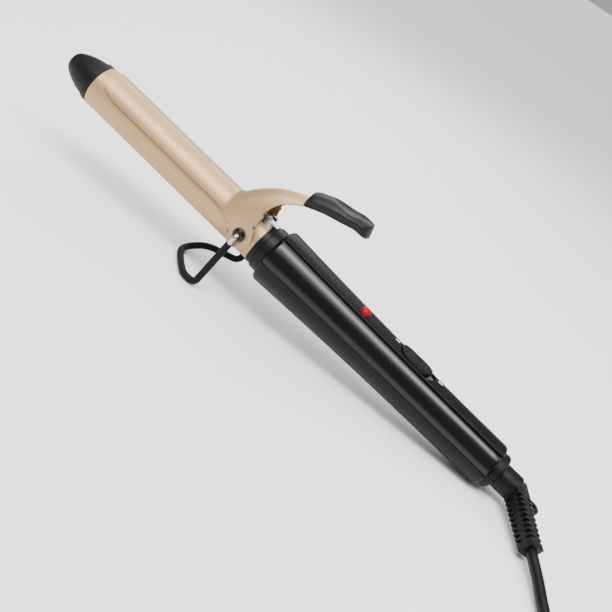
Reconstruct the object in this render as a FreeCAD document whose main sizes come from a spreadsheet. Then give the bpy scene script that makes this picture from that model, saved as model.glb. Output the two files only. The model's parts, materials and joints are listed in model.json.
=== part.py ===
import FreeCAD, Part
import Sketcher
import math
import os

from FreeCAD import Placement, Rotation, Vector

# Clip-type curling iron on its wire stand, in millimetres.
# Every piece is drawn in the iron's own frame: X runs along the barrel's axis from the tip to the cord, X = 0 is
# the front edge of the collar, Z points to the side of the lever and the switch. One placement then lays the
# whole iron on the table, resting on the stand's foot and on the rear end of its handle.

# ---------------------------------------------------------------- driving dimensions

DIMENSIONS = {
    "rest_tilt": 8.1,            # slope of the iron on its stand, in degrees
    "barrel_dia": 22.0, "barrel_wall": 1.0, "barrel_length": 111.3, "barrel_root": 21.0,
    "tip_length": 19.3, "tip_lip": 3.7, "tip_lip_dia": 21.6, "tip_base_dia": 20.2, "tip_end_dia": 5.0,
    "clip_sheet": 0.9, "clip_gap": 0.15, "clip_length": 82.5, "clip_edge_height": 4.2, "ear_width": 25.8,
    "pivot_x": -8.4, "pivot_z": 0.8, "bush_dia": 5.0, "bush_length": 3.6,
    "wire_dia": 2.5, "sleeve_dia": 3.6, "leg_spread": 16.2,
    "ring_one_dia": 23.0, "ring_one_length": 3.1, "ring_two_dia": 24.6, "ring_two_length": 4.5,
    "handle_start": 7.7, "handle_end": 153.0, "handle_front_dia": 30.5, "handle_rear_dia": 24.14,
    "skin": 1.6, "shell_wall": 3.0, "seam": 0.12, "strip_angle": 60.0,
    "lens_x": 59.7, "lens_dia": 5.8, "lens_side": -1.9, "lens_height": 2.0,
    "knob_x": 83.0, "knob_length": 19.5, "knob_width": 9.4, "knob_travel": 2.4, "knob_rise": 1.1,
    "end_collar_dia": 19.4, "end_collar_length": 4.3,
    "neck_dia": 13.5, "neck_end": 168.5, "shaft_dia": 9.0, "running_gap": 0.07,
    "relief_side": 8.3, "relief_end_side": 7.4,
    "cord_dia": 5.3, "pin_dia": 4.0, "pin_length": 19.0, "pin_spacing": 18.6,
    "coil_mean_dia": 63.5, "coil_width": 18.0, "coil_height": 16.2,
}

# Places along the iron, from the front edge of the collar, in mm.
SPREADER_START, SPREADER_LENGTH, HEATER_THICK, HEATER_WIDTH = -96.0, 74.0, 2.6, 13.0
SADDLE_FRONT, SADDLE_REAR = -10.0, -0.5
SADDLE_SCREW_X, SADDLE_THREAD = -5.2, 1.08
SCREW_X = (34.0, 128.0)                # the two screws that hold the handle's halves
BOARD_SCREWS = (50.0, 110.0)
MARK_X = (80.1, 108.3)                 # printed ticks before and behind the knob
SLIP_RINGS = (139.2, 143.2)
TIE_ANGLE = 340                        # degrees round the coil where the strap sits


class Size:
    """A number together with the spreadsheet expression that gives it."""

    def __init__(self, value, text=None):
        self.value = float(value)
        self.text = text if text is not None else "%.6g" % value

    def _join(self, other, sign, value, swap=False):
        other = other if isinstance(other, Size) else Size(other)
        pair = (other.text, self.text) if swap else (self.text, other.text)
        return Size(value, "(%s %s %s)" % (pair[0], sign, pair[1]))

    def __add__(self, other):
        return self._join(other, "+", self.value + float(other))

    def __radd__(self, other):
        return self._join(other, "+", self.value + float(other), swap=True)

    def __sub__(self, other):
        return self._join(other, "-", self.value - float(other))

    def __rsub__(self, other):
        return self._join(other, "-", float(other) - self.value, swap=True)

    def __mul__(self, other):
        return self._join(other, "*", self.value * float(other))

    def __truediv__(self, other):
        return self._join(other, "/", self.value / float(other))

    def __neg__(self):
        return Size(-self.value, "(0 - %s)" % self.text)

    def __float__(self):
        return self.value


doc = FreeCAD.newDocument("curling_iron")
sheet = doc.addObject("Spreadsheet::Sheet", "dims")
for row, (alias, number) in enumerate(DIMENSIONS.items(), start=1):
    sheet.set("A%d" % row, alias)
    sheet.set("B%d" % row, "%g" % number)
    sheet.setAlias("B%d" % row, alias)
doc.recompute()


class Sheet:
    """Reads a cell of the sheet by its alias."""

    def __getattr__(self, alias):
        return Size(sheet.get(alias), "dims.%s" % alias)


d = Sheet()
NODES = {}                       # label -> document object of each finished sub-part


# ---------------------------------------------------------------- helpers


def bind(obj, **sizes):
    """Sets properties and binds each one that came from the sheet to its cells."""
    for name, size in sizes.items():
        setattr(obj, name, float(size))
        if isinstance(size, Size):
            obj.setExpression(name, size.text)
    return obj


def place(obj, x=0, y=0, z=0, turn=None):
    obj.Placement = Placement(Vector(float(x), float(y), float(z)), turn or Rotation())
    for axis, size in (("x", x), ("y", y), ("z", z)):
        if isinstance(size, Size):
            obj.setExpression("Placement.Base." + axis, size.text)
    return obj


ALONG_X = Rotation(Vector(0, 1, 0), 90)
ALONG_Y = Rotation(Vector(1, 0, 0), -90)


def cylinder(name, radius, length, x=0, y=0, z=0, turn=None):
    obj = bind(doc.addObject("Part::Cylinder", name), Radius=radius, Height=length)
    return place(obj, x, y, z, turn)


def block(name, length, width, height, x=0, y=0, z=0):
    """A box centred on y."""
    obj = bind(doc.addObject("Part::Box", name), Length=length, Width=width, Height=height)
    width = width if isinstance(width, Size) else Size(width)
    return place(obj, x, y - width / 2, z)


def cut(name, base, *tools):
    tool = tools[0] if len(tools) == 1 else fuse(name + "_tools", *tools)
    obj = doc.addObject("Part::Cut", name)
    obj.Base, obj.Tool = base, tool
    return obj


def fuse(name, *shapes):
    obj = doc.addObject("Part::MultiFuse", name)
    obj.Shapes = list(shapes)
    return obj


def common(name, *shapes):
    obj = doc.addObject("Part::MultiCommon", name)
    obj.Shapes = list(shapes)
    return obj


def feature(name, shape):
    obj = doc.addObject("Part::Feature", name)
    obj.Shape = shape
    return obj


def node(label, obj):
    """Names a finished sub-part."""
    obj.Label = label
    NODES[label] = obj
    return obj


def turned(name, outline, sweep=360):
    """A PartDesign body turned about the X axis from an outline of (x, radius) points.

    A point may carry a third entry, the (x, radius) of a point that the arc leading to it passes through.
    """
    body = doc.addObject("PartDesign::Body", name)
    sketch = body.newObject("Sketcher::SketchObject", name + "_outline")
    plane = [f for f in body.Origin.OriginFeatures if f.Role == "XZ_Plane"][0]
    sketch.AttachmentSupport = [(plane, "")]
    sketch.MapMode = "FlatFace"
    count = len(outline)
    spot = [Vector(float(p[0]), float(p[1]), 0) for p in outline]
    ends = []
    for i in range(count):
        start, end = spot[i], spot[(i + 1) % count]
        via = outline[(i + 1) % count][2] if len(outline[(i + 1) % count]) > 2 else None
        if via is None:
            edge = sketch.addGeometry(Part.LineSegment(start, end), False)
            ends.append((edge, 1, 2))
            continue
        arc = Part.Arc(start, Vector(float(via[0]), float(via[1]), 0), end)
        circle = arc.toShape().Curve
        flat = Part.Circle(circle.Center, Vector(0, 0, 1), circle.Radius)
        first, last = flat.parameter(start), flat.parameter(end)
        middle = flat.parameter(Vector(float(via[0]), float(via[1]), 0))
        turn = 2 * math.pi
        if (middle - first) % turn < (last - first) % turn:
            edge = sketch.addGeometry(Part.ArcOfCircle(flat, first, first + (last - first) % turn), False)
            ends.append((edge, 1, 2))
        else:
            edge = sketch.addGeometry(Part.ArcOfCircle(flat, last, last + (first - last) % turn), False)
            ends.append((edge, 2, 1))
        sketch.addConstraint(Sketcher.Constraint("Radius", edge, circle.Radius))
    for i in range(count):
        edge, _, tail = ends[i]
        following, head, _ = ends[(i + 1) % count]
        sketch.addConstraint(Sketcher.Constraint("Coincident", edge, tail, following, head))
    for i, point in enumerate(outline):
        edge, head, _ = ends[i]
        for kind, size in (("DistanceX", point[0]), ("DistanceY", point[1])):
            index = sketch.addConstraint(Sketcher.Constraint(kind, -1, 1, edge, head, float(size)))
            if isinstance(size, Size) and abs(size.value) > 1e-6:
                sketch.setExpression("Constraints[%d]" % index, size.text)
    revolution = body.newObject("PartDesign::Revolution", name + "_turn")
    revolution.Profile = sketch
    revolution.ReferenceAxis = (sketch, ["H_Axis"])
    bind(revolution, Angle=sweep)
    body.Tip = revolution
    return body


def rounded_path(points, radii=None):
    """Straight runs through the points, joined by tangent arcs. Returns the wire and the arcs' radii."""
    points = [Vector(*p) for p in points]
    edges, used, start = [], [], points[0]
    for i in range(1, len(points) - 1):
        back, ahead = points[i - 1] - points[i], points[i + 1] - points[i]
        shorter = min(back.Length, ahead.Length)
        half_turn = (math.pi - back.getAngle(ahead)) / 2
        radius = 0.45 * shorter / math.tan(half_turn)
        if radii and radii.get(i):
            radius = min(radius, radii[i])
        used.append(radius)
        reach = radius * math.tan(half_turn)
        back.normalize()
        ahead.normalize()
        first, last = points[i] + back * reach, points[i] + ahead * reach
        inwards = back + ahead
        inwards.normalize()
        middle = points[i] + inwards * (radius / math.cos(half_turn) - radius)
        edges.append(Part.LineSegment(start, first).toShape())
        edges.append(Part.Arc(first, middle, last).toShape())
        start = last
    edges.append(Part.LineSegment(start, points[-1]).toShape())
    return Part.Wire(edges), used


def ring_section(wire, radius):
    start = wire.Edges[0]
    return Part.Wire(Part.makeCircle(radius, start.valueAt(start.FirstParameter),
                                     start.tangentAt(start.FirstParameter)))


def tube_along(wire, radius, bore=0):
    """A round bar or tube swept along a path."""
    bar = wire.makePipeShell([ring_section(wire, radius)], True, False)
    if bore:
        bar = bar.cut(wire.makePipeShell([ring_section(wire, bore)], True, False))
    return bar.Solids[0]


# ---------------------------------------------------------------- barrel and its inside


def tip_cap():
    start = -(d.barrel_length + d.tip_length)
    base = -(d.barrel_length + d.tip_lip)
    middle = start + d.tip_length * 0.42
    body = turned("tip_cap_body", [
        (start, Size(0)),
        (start, d.tip_end_dia / 2),
        (start + 1.3, d.tip_end_dia / 2 + 2.5, (start + 0.45, d.tip_end_dia / 2 + 1.5)),
        (base, d.tip_base_dia / 2, (middle, d.tip_base_dia / 2 - 1.6)),
        (base, d.tip_lip_dia / 2 - 0.5),
        (base + 0.5, d.tip_lip_dia / 2),
        (-d.barrel_length, d.tip_lip_dia / 2),
        (-d.barrel_length, d.barrel_dia / 2 - d.barrel_wall - 0.02),
        (-d.barrel_length + 9, d.barrel_dia / 2 - d.barrel_wall - 0.02),
        (-d.barrel_length + 9, d.barrel_dia / 2 - d.barrel_wall - 2),
        (-d.barrel_length + 1, d.barrel_dia / 2 - d.barrel_wall - 2),
        (-d.barrel_length + 1, Size(0)),
    ])
    node("tip_cap", body)


def barrel():
    tube = cylinder("barrel_outside", d.barrel_dia / 2, d.barrel_length + d.barrel_root, -d.barrel_length,
                    turn=ALONG_X)
    bore = cylinder("barrel_bore", d.barrel_dia / 2 - d.barrel_wall, d.barrel_length + d.barrel_root,
                    -d.barrel_length, turn=ALONG_X)
    cross = cylinder("barrel_pivot_holes", d.bush_dia / 2, d.ear_width, d.pivot_x, -d.ear_width / 2, d.pivot_z,
                     ALONG_Y)
    screw_hole = cylinder("saddle_screw_hole", SADDLE_THREAD + 0.04, d.barrel_dia, SADDLE_SCREW_X, 0, 0)
    node("barrel_tube", cut("barrel_cut", tube, bore, cross, screw_hole))


def heater():
    """Two half-round aluminium spreaders pressed against the barrel, with the heater plate between them."""
    for side, sign in (("upper", 1), ("lower", -1)):
        bar = cylinder("spreader_bar_" + side, d.barrel_dia / 2 - d.barrel_wall - 0.05, SPREADER_LENGTH,
                       SPREADER_START, turn=ALONG_X)
        low = HEATER_THICK / 2 + 0.02 if sign > 0 else -d.barrel_dia / 2
        half = block("spreader_half_" + side, SPREADER_LENGTH, d.barrel_dia, d.barrel_dia / 2 - HEATER_THICK / 2,
                     SPREADER_START, 0, low)
        groove = cylinder("spreader_groove_" + side, 3.2, SPREADER_LENGTH, SPREADER_START, 0, sign * 7.4,
                          ALONG_X)
        node("heat_spreader_" + side,
             cut("spreader_" + side, common("spreader_common_" + side, bar, half), groove))
    node("heater_plate", block("heater_plate_box", 62, HEATER_WIDTH, HEATER_THICK, SPREADER_START + 6, 0,
                               -HEATER_THICK / 2))
    node("thermal_fuse", cylinder("thermal_fuse_body", 1.3, 10, SPREADER_START + SPREADER_LENGTH - 26, 0, 6.6,
                                  ALONG_X))
    bush = turned("end_bush_body", [
        (d.ring_one_length, Size(3)), (d.ring_one_length, d.barrel_dia / 2 - d.barrel_wall - 0.02),
        (d.ring_one_length + 8, d.barrel_dia / 2 - d.barrel_wall - 0.02), (d.ring_one_length + 8, Size(3))])
    node("ceramic_end_bush", bush)
    wires = []
    for sign in (1, -1):
        path, _ = rounded_path([(SPREADER_START + 68, sign * 3, 0), (-16, sign * 3, 0), (-6, sign * 1.4, -0.5),
                                (14, sign * 1.4, -0.8), (26, sign * 4.6, -1.5), (45.5, sign * 4.6, -1.5)])
        wires.append(tube_along(path, 0.8))
    node("heater_leads", feature("heater_lead_pair", Part.makeCompound(wires)))


# ---------------------------------------------------------------- clip, its pivots and its spring


def arch_height(x):
    """Height of the sheet's outer crown above the axis: level on the barrel, then curving up into the lever."""
    level = float(d.barrel_dia) / 2 + float(d.clip_gap) + float(d.clip_sheet)
    crown = [(-26, level), (-24.2, level), (-22.4, 13.3), (-20, 16.4), (-15.2, 21.8), (-10.5, 26.3), (-5.7, 29.6),
             (-1.3, 32.0), (3.6, 34.3), (9.5, 36.6), (16, 38.8)]
    if x <= crown[0][0]:
        return level
    for (x0, z0), (x1, z1) in zip(crown, crown[1:]):
        if x <= x1:
            return z0 + (z1 - z0) * (x - x0) / (x1 - x0)
    return crown[-1][1]


ARCH_START = -24.2
ARCH_STATIONS = [-26, -24.2, -22.4, -20, -17.5, -15.2, -12.8, -10.5, -8, -5.7, -3.5, -1.3, 1.2, 3.6, 6.6, 9.5,
                 12.7, 16]


def arch_wire(x, inset):
    """Closed arch across the iron: half an ellipse on two straight legs that end below the ears."""
    level = float(d.barrel_dia) / 2 + float(d.clip_gap) + float(d.clip_sheet)
    spread = min(1.0, max(0.0, (x + 26) / 12.0))
    half = level + (float(d.ear_width) / 2 - level) * spread * spread * (3 - 2 * spread) - inset
    crown = arch_height(x) - inset * math.sqrt(1 + min(1.2, max(0.0, (x + 24.2) / 4.0)) ** 2 * 0.75)
    foot = -9.0
    left, right, top = Vector(x, -half, 0), Vector(x, half, 0), Vector(x, 0, crown)
    if crown >= half:
        ellipse = Part.Ellipse(top, Vector(x, half, 0), Vector(x, 0, 0))
    else:
        ellipse = Part.Ellipse(Vector(x, half, 0), top, Vector(x, 0, 0))
    arc = Part.ArcOfEllipse(ellipse, ellipse.parameter(right), ellipse.parameter(left))
    if arc.value((arc.FirstParameter + arc.LastParameter) / 2).z < 0:
        arc = Part.ArcOfEllipse(ellipse, ellipse.parameter(left), ellipse.parameter(right))
    curve = arc.toShape()
    foot_left, foot_right = Vector(x, -half, foot), Vector(x, half, foot)
    return Part.Wire(Part.__sortEdges__([
        curve, Part.LineSegment(left, foot_left).toShape(), Part.LineSegment(foot_left, foot_right).toShape(),
        Part.LineSegment(foot_right, right).toShape()]))


def side_profile(points, width):
    """A prism across the iron from a side outline of straight and curved runs."""
    edges = []
    for kind, run in points:
        spots = [Vector(x, -width / 2, z) for x, z in run]
        if kind == "line":
            edges += [Part.LineSegment(a, b).toShape() for a, b in zip(spots, spots[1:])]
        else:
            curve = Part.BSplineCurve()
            curve.interpolate(spots)
            edges.append(curve.toShape())
    return Part.Face(Part.Wire(edges)).extrude(Vector(0, width, 0))


def clip():
    """Spoon, two ears and the lever, pressed from one sheet."""
    level = float(d.barrel_dia) / 2 + float(d.clip_gap)
    sheet_thick = float(d.clip_sheet)
    start = ARCH_START - float(d.clip_length)
    spoon = Part.makeCylinder(level + sheet_thick, ARCH_START + 0.1 - start, Vector(start, 0, 0), Vector(1, 0, 0))
    spoon = spoon.cut(Part.makeCylinder(level, 200, Vector(-150, 0, 0), Vector(1, 0, 0)))
    outside = Part.makeLoft([arch_wire(x, 0) for x in ARCH_STATIONS], True, True)
    inside = Part.makeLoft([arch_wire(x, sheet_thick) for x in ARCH_STATIONS], True, True)
    arch = outside.cut(inside)
    arch = arch.common(Part.makeBox(60, 60, 60, Vector(ARCH_START + 0.05, -30, -12)))
    edge = float(d.clip_edge_height)
    ear = side_profile([
        ("line", [(start, 13.5), (start, 9.6)]),
        ("curve", [(start, 9.6), (start + 2.0, 6.9), (start + 6, 4.9), (start + 11.5, edge)]),
        ("line", [(start + 11.5, edge), (-30, edge)]),
        ("curve", [(-30, edge), (-23.2, 3.7), (-18.6, 2.0), (-15.4, 0.2), (-14.4, -2.0), (-12.7, -4.6),
                   (-8.6, -6.2), (-4.8, -5.0), (-2.6, -2.2), (-2.1, 1.6), (-3.4, 5.6), (-5.2, 10),
                   (-6.0, 14), (-5.9, 18), (-4.9, 21.8), (-2.6, 25.2), (0.9, 28.5), (4.6, 31.1),
                   (9.0, 33.2), (14.6, 35.6)]),
        ("line", [(14.6, 35.6), (14.6, 45), (-24, 45), (-24, 13.5), (start, 13.5)]),
    ], 60)
    blank = spoon.fuse(arch).common(ear)
    pivot = Vector(float(d.pivot_x), -20, float(d.pivot_z))
    hole = Part.makeCylinder(float(d.bush_dia) / 2 + float(d.running_gap), 40, pivot, Vector(0, 1, 0))
    rivet = Part.makeCylinder(1.55, 12, Vector(10.8, 0, 30), Vector(0, 0, 1))
    blank = blank.cut(hole).cut(rivet)
    node("clip", feature("clip_sheet_metal", max(blank.Solids, key=lambda s: s.Volume)))


def thumb_grip():
    """Moulded grip pushed over the lever's end, with a scooped top for the thumb."""
    body = side_profile([
        ("curve", [(4.4, 37.6), (3.9, 34.4), (5.4, 30.6)]),
        ("curve", [(5.4, 30.6), (12, 33.4), (20, 36.6), (28, 38.9), (36.4, 39.9)]),
        ("curve", [(36.4, 39.9), (37.0, 43.0), (35.6, 46.6)]),
        ("curve", [(35.6, 46.6), (28, 45.3), (18, 43.2), (10, 40.4), (4.4, 37.6)]),
    ], 14)
    edges = [e for e in body.Edges if e.Length > 25]
    body = body.makeFillet(1.5, edges)
    scoop = Part.makeCylinder(30, 20, Vector(12, 0, 72.4), Vector(1, 0, 0.16))
    scoop = scoop.common(Part.makeBox(20.5, 9.6, 30, Vector(13.2, -4.8, 35)))
    body = body.cut(scoop)
    socket = side_profile([("line", [(3.5, 30.4), (9.0, 33.05), (16.3, 36.1), (16.3, 39.1), (9.5, 36.75),
                                     (3.6, 34.45), (3.5, 30.4)])], 11.6)
    body = body.cut(socket)
    rivet = Part.makeCylinder(1.5, 5.2, Vector(10.8, 0, 32.4), Vector(0, 0, 1))
    body = body.cut(rivet)
    node("thumb_grip", feature("thumb_grip_moulding", max(body.Solids, key=lambda s: s.Volume)))
    node("grip_rivet", feature("grip_rivet_shank", Part.makeCylinder(1.48, 5.1, Vector(10.8, 0, 32.45),
                                                                    Vector(0, 0, 1))))


def pivots():
    """Hollow steel bushes pressed into the barrel wall, with a black domed grommet outside each ear."""
    bushes, grommets = [], []
    half = float(d.ear_width) / 2
    x, z = float(d.pivot_x), float(d.pivot_z)
    for sign in (1, -1):
        inner, across = Vector(x, sign * (half - float(d.bush_length)), z), Vector(0, sign, 0)
        outer = Part.makeCylinder(float(d.bush_dia) / 2, float(d.bush_length) + 0.5, inner, across)
        bore = Part.makeCylinder(float(d.wire_dia) / 2 + float(d.running_gap), 20, Vector(x, 0, z), across)
        bushes.append(outer.cut(bore))
        seat = Vector(x, sign * (half + 0.5), z)
        dome = Part.makeCone(3.3, 2.2, 1.1, seat, across)
        grommets.append(dome.cut(bore))
    node("pivot_bushes", feature("pivot_bush_pair", Part.makeCompound(bushes)))
    node("pivot_grommets", feature("pivot_grommet_pair", Part.makeCompound(grommets)))


def spring():
    """Saddle screwed to the barrel's crown, and the bent leaf that pushes the lever up."""
    rise = float(d.barrel_dia) / 2 + 0.03
    length = SADDLE_REAR - SADDLE_FRONT
    plate = Part.makeCylinder(rise + 0.8, length, Vector(SADDLE_FRONT, 0, 0), Vector(1, 0, 0))
    plate = plate.cut(Part.makeCylinder(rise, length, Vector(SADDLE_FRONT, 0, 0), Vector(1, 0, 0)))
    plate = plate.common(Part.makeBox(length, 8.4, 8, Vector(SADDLE_FRONT, -4.2, 8)))
    cheeks = [Part.makeBox(length - 2, 0.8, 2.2, Vector(SADDLE_FRONT + 1, y, 11.2)) for y in (-4.0, 3.2)]
    saddle = plate.fuse(cheeks)
    shank = Part.makeCylinder(SADDLE_THREAD + 0.04, 6, Vector(SADDLE_SCREW_X, 0, 8), Vector(0, 0, 1))
    node("spring_saddle", feature("spring_saddle_plate", saddle.cut(shank).Solids[0]))
    thick = 0.45
    leaf = side_profile([("line", [
        (-1.0, 11.9), (-9.4, 11.9), (-9.4, 12.6), (-13.9, 20.2), (-13.4, 20.5), (-8.9, 12.9), (-8.9, 11.9 + thick),
        (2.2, 11.9 + thick), (2.2, 11.9), (-1.0, 11.9)])], 4.6)
    leaf = leaf.cut(shank)
    node("clip_spring", feature("clip_spring_leaf", leaf.Solids[0]))
    head = Part.makeCylinder(2.1, 1.5, Vector(SADDLE_SCREW_X, 0, 11.9 + thick + 0.02), Vector(0, 0, 1))
    thread = Part.makeCylinder(SADDLE_THREAD, 2.4, Vector(SADDLE_SCREW_X, 0, 10.05), Vector(0, 0, 1))
    node("saddle_screw", feature("saddle_screw_solid", head.fuse(thread)))


# ---------------------------------------------------------------- stand

TABLE_X, TABLE_Z = 151.2, -12.05       # where the handle's rear end touches the table


def on_table(x):
    """Height of the stand's wire, in the iron's frame, where it lies on the table."""
    tilt = math.radians(float(d.rest_tilt))
    return TABLE_Z - (TABLE_X - x) * math.tan(tilt) + float(d.sleeve_dia) / 2 / math.cos(tilt)


def stand():
    """One bent wire: down the near side, round on the table towards the tip, and back up the far side."""
    x, z, leg = float(d.pivot_x), float(d.pivot_z), float(d.leg_spread)
    near_leg, far_leg = (-10.0, -leg, on_table(-10.0)), (-5.4, leg, -24.6)
    foot = [near_leg, (-17.2, -leg + 0.6, on_table(-17.2)), (-24.6, -6.6, on_table(-24.6)),
            (-30.6, 3.2, on_table(-30.6)), (-29.4, 10.2, on_table(-29.4) + 1.0), (-22.6, 12.2, -28.7), far_leg]
    ends = [(x, -(leg - 6.4), z), (x, -leg, z)]
    back = [(x, leg, z), (x, leg - 6.4, z)]
    wire, _ = rounded_path(ends + foot + back, {1: 1.65, 2: 3.2, 8: 4.2, 9: 1.65})
    node("stand_wire", feature("stand_wire_bar", tube_along(wire, float(d.wire_dia) / 2)))
    drop = 5.2
    near_top = Vector(*near_leg) + (Vector(x, -leg, z) - Vector(*near_leg)) * (1 - drop / 34.0)
    far_top = Vector(*far_leg) + (Vector(x, leg, z) - Vector(*far_leg)) * (1 - drop / 25.6)
    sleeve, _ = rounded_path([tuple(near_top)] + foot + [tuple(far_top)], {1: 3.2, 7: 4.2})
    node("stand_sleeve", feature("stand_sleeve_tube",
                                 tube_along(sleeve, float(d.sleeve_dia) / 2, float(d.wire_dia) / 2 + 0.02)))


# ---------------------------------------------------------------- collar and handle


def collars():
    inner = d.barrel_dia / 2 + 0.03
    front = turned("front_collar_body", [
        (Size(0), inner), (Size(0), d.ring_one_dia / 2 - 0.4), (Size(0.4), d.ring_one_dia / 2),
        (d.ring_one_length, d.ring_one_dia / 2), (d.ring_one_length, inner)])
    node("front_collar", front)
    rear = turned("rear_collar_body", [
        (d.ring_one_length, inner), (d.ring_one_length, d.ring_two_dia / 2 - 0.5),
        (d.ring_one_length + 0.5, d.ring_two_dia / 2), (d.handle_start, d.ring_two_dia / 2),
        (d.handle_start, d.ring_two_dia / 2 - 0.35), (d.handle_start + 2.2, d.ring_two_dia / 2 - 0.35),
        (d.handle_start + 2.2, Size(11.8)), (d.barrel_root, Size(11.8)), (d.barrel_root, inner)])
    node("rear_collar", rear)


ARC_END, FRONT_ROUND, REAR_ROUND = 150.0, 2.6, 2.1


def handle_radius(x, inset=0.0):
    """The handle's outer radius: one long arc that ends level near the cord end."""
    front = float(d.handle_start) + FRONT_ROUND
    drop = float(d.handle_front_dia - d.handle_rear_dia) / 2
    ratio = max(0.0, (ARC_END - x) / (ARC_END - front))
    return float(d.handle_rear_dia) / 2 + drop * ratio * ratio - inset


TAPER_STEPS = 9


def taper(inset, start, stop, rearwards=True):
    """Points along the handle's long curve at a given inset, each bound to the front and rear diameters."""
    front = float(d.handle_start) + FRONT_ROUND
    points = []
    for step in range(1, TAPER_STEPS):
        x = start + (stop - start) * step / TAPER_STEPS
        ratio = max(0.0, (ARC_END - x) / (ARC_END - front)) ** 2
        radius = d.handle_rear_dia / 2 * (1 - ratio) + d.handle_front_dia / 2 * ratio - inset
        points.append((Size(x), radius))
    return points if rearwards else points[::-1]


def shell_outline(outer, inner, front_wall, rear_wall, mouth, rear_mouth):
    """Section of one layer of the handle's wall, outer and inner being insets from the outside."""
    front, rear = d.handle_start, d.handle_end
    start, stop = front + FRONT_ROUND, rear - REAR_ROUND
    top, bottom = d.handle_front_dia / 2 - outer, d.handle_rear_dia / 2 - outer
    low_front, low_rear = d.handle_front_dia / 2 - inner, d.handle_rear_dia / 2 - inner
    inner_start, inner_stop = front + front_wall, rear - rear_wall
    return [
        (front, mouth), (front, top - FRONT_ROUND),
        (start, top, (front + FRONT_ROUND * 0.293, top - FRONT_ROUND * 0.293)),
        *taper(outer, float(start), ARC_END),
        (Size(ARC_END), bottom), (stop, bottom),
        (rear, bottom - REAR_ROUND, (rear - REAR_ROUND * 0.293, bottom - REAR_ROUND * 0.293)),
        (rear, rear_mouth), (inner_stop, rear_mouth), (inner_stop, low_rear), (Size(ARC_END - 3), low_rear),
        *taper(inner, float(inner_start), ARC_END - 3, rearwards=False),
        (inner_start, low_front - 0.05), (inner_start, mouth)]


def frame_outline():
    """Section of the upper frame, just inside the skin."""
    front, rear = d.handle_start + 0.7, d.handle_end - 0.5
    outer, inner = d.skin + 0.05, d.shell_wall
    top, bottom = d.handle_front_dia / 2, d.handle_rear_dia / 2
    return [
        (front, d.ring_two_dia / 2 - 0.3), (front, top - outer),
        *taper(outer, float(front), ARC_END),
        (Size(ARC_END), bottom - outer),
        (rear, bottom - outer), (rear, Size(7.05)), (rear - 1.6, Size(7.05)), (rear - 1.6, bottom - inner),
        (Size(ARC_END - 3), bottom - inner),
        *taper(inner, float(front) + 1.6, ARC_END - 3, rearwards=False),
        (front + 1.6, top - inner - 0.05), (front + 1.6, d.ring_two_dia / 2 - 0.3)]


def skin_outline():
    """Section of a skin panel, which sits on the upper frame."""
    front, rear = d.handle_start, d.handle_end
    start, stop = front + FRONT_ROUND, rear - REAR_ROUND
    top, bottom = d.handle_front_dia / 2, d.handle_rear_dia / 2
    under_front, under_rear = top - d.skin, bottom - d.skin
    return [
        (front, under_front - 0.7), (front, top - FRONT_ROUND + 0.6),
        (start, top, (front + FRONT_ROUND * 0.25, top - FRONT_ROUND * 0.2)),
        *taper(0, float(start), ARC_END),
        (Size(ARC_END), bottom), (stop, bottom),
        (rear, bottom - REAR_ROUND + 0.6, (rear - REAR_ROUND * 0.25, bottom - REAR_ROUND * 0.2)),
        (rear, under_rear - 0.3), (rear - 0.4, under_rear), (Size(ARC_END), under_rear),
        *taper(d.skin, float(front) + 0.6, ARC_END, rearwards=False),
        (front + 0.6, under_front), (front + 0.6, under_front - 0.7)]


def seam_degrees():
    """Half of the parting gap between two pieces of the skin, as an angle."""
    return math.degrees(float(d.seam) / float(d.handle_rear_dia) * 2)


def handle():
    gap = seam_degrees()
    mouth = d.ring_two_dia / 2 - 0.3
    bottom = turned("bottom_shell_body", shell_outline(0, d.shell_wall, 2.2, 2.0, mouth, Size(7.05)),
                    Size(180 - 2 * gap))
    bottom.Placement = Placement(Vector(), Rotation(Vector(1, 0, 0), 90 + gap))
    heads, shanks = [], []
    for i, x in enumerate(SCREW_X):
        low = -handle_radius(x)
        heads.append(cylinder("screw_recess_%d" % i, 2.9, 1.9, x, 0, low - 0.2))
        shanks.append(cylinder("screw_way_%d" % i, 1.5, 6, x, 0, low))
    node("handle_bottom_shell", cut("bottom_shell", bottom, *(heads + shanks)))

    frame = turned("upper_frame_body", frame_outline(), Size(180 - 2 * gap))
    frame.Placement = Placement(Vector(), Rotation(Vector(1, 0, 0), gap - 90))
    bosses = []
    for i, x in enumerate(SCREW_X):
        top = handle_radius(x, float(d.shell_wall) - 0.4)
        bosses.append(cylinder("screw_boss_%d" % i, 2.8, top + 2.5, x, 0, -2.5))
    pilots = [cylinder("screw_pilot_%d" % i, 1.3, 8, x, 0, -2.6) for i, x in enumerate(SCREW_X)]
    slot = block("knob_stem_slot", d.knob_travel + 7.6, 3.4, 6, d.knob_x + d.knob_length / 2 - 3.6, 0, 7.5)
    lens_way = cylinder("lens_way_frame", 2.2, 10, d.lens_x, d.lens_side, 7.5)
    node("handle_upper_frame", cut("upper_frame", fuse("upper_frame_bossed", frame, *bosses),
                                   slot, lens_way, *pilots))

    strip = d.strip_angle
    half = float(strip) / 2
    for side, start in (("near", half), ("far", -90)):
        panel = turned("panel_body_" + side, skin_outline(), 90 - strip / 2 - 2 * gap)
        panel.Placement = Placement(Vector(), Rotation(Vector(1, 0, 0), start + gap))
        node("side_panel_" + side, panel)
    top = turned("top_strip_body", skin_outline(), strip - 2 * gap)
    top.Placement = Placement(Vector(), Rotation(Vector(1, 0, 0), gap - half))
    knob_hole = oblong("knob_hole", d.knob_length + d.knob_travel + 0.7, d.knob_width + 0.7, 8,
                       d.knob_x - 0.3, 8.5)
    lens_hole = cylinder("lens_hole", d.lens_dia / 2 + 0.05, 10, d.lens_x, d.lens_side, 8)
    pockets = [feature("mark_pocket_%d" % i, mark_shape(x, 0.005, 1.0)) for i, x in enumerate(MARK_X)]
    node("handle_top_strip", cut("top_strip", top, knob_hole, lens_hole, *pockets))


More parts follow.
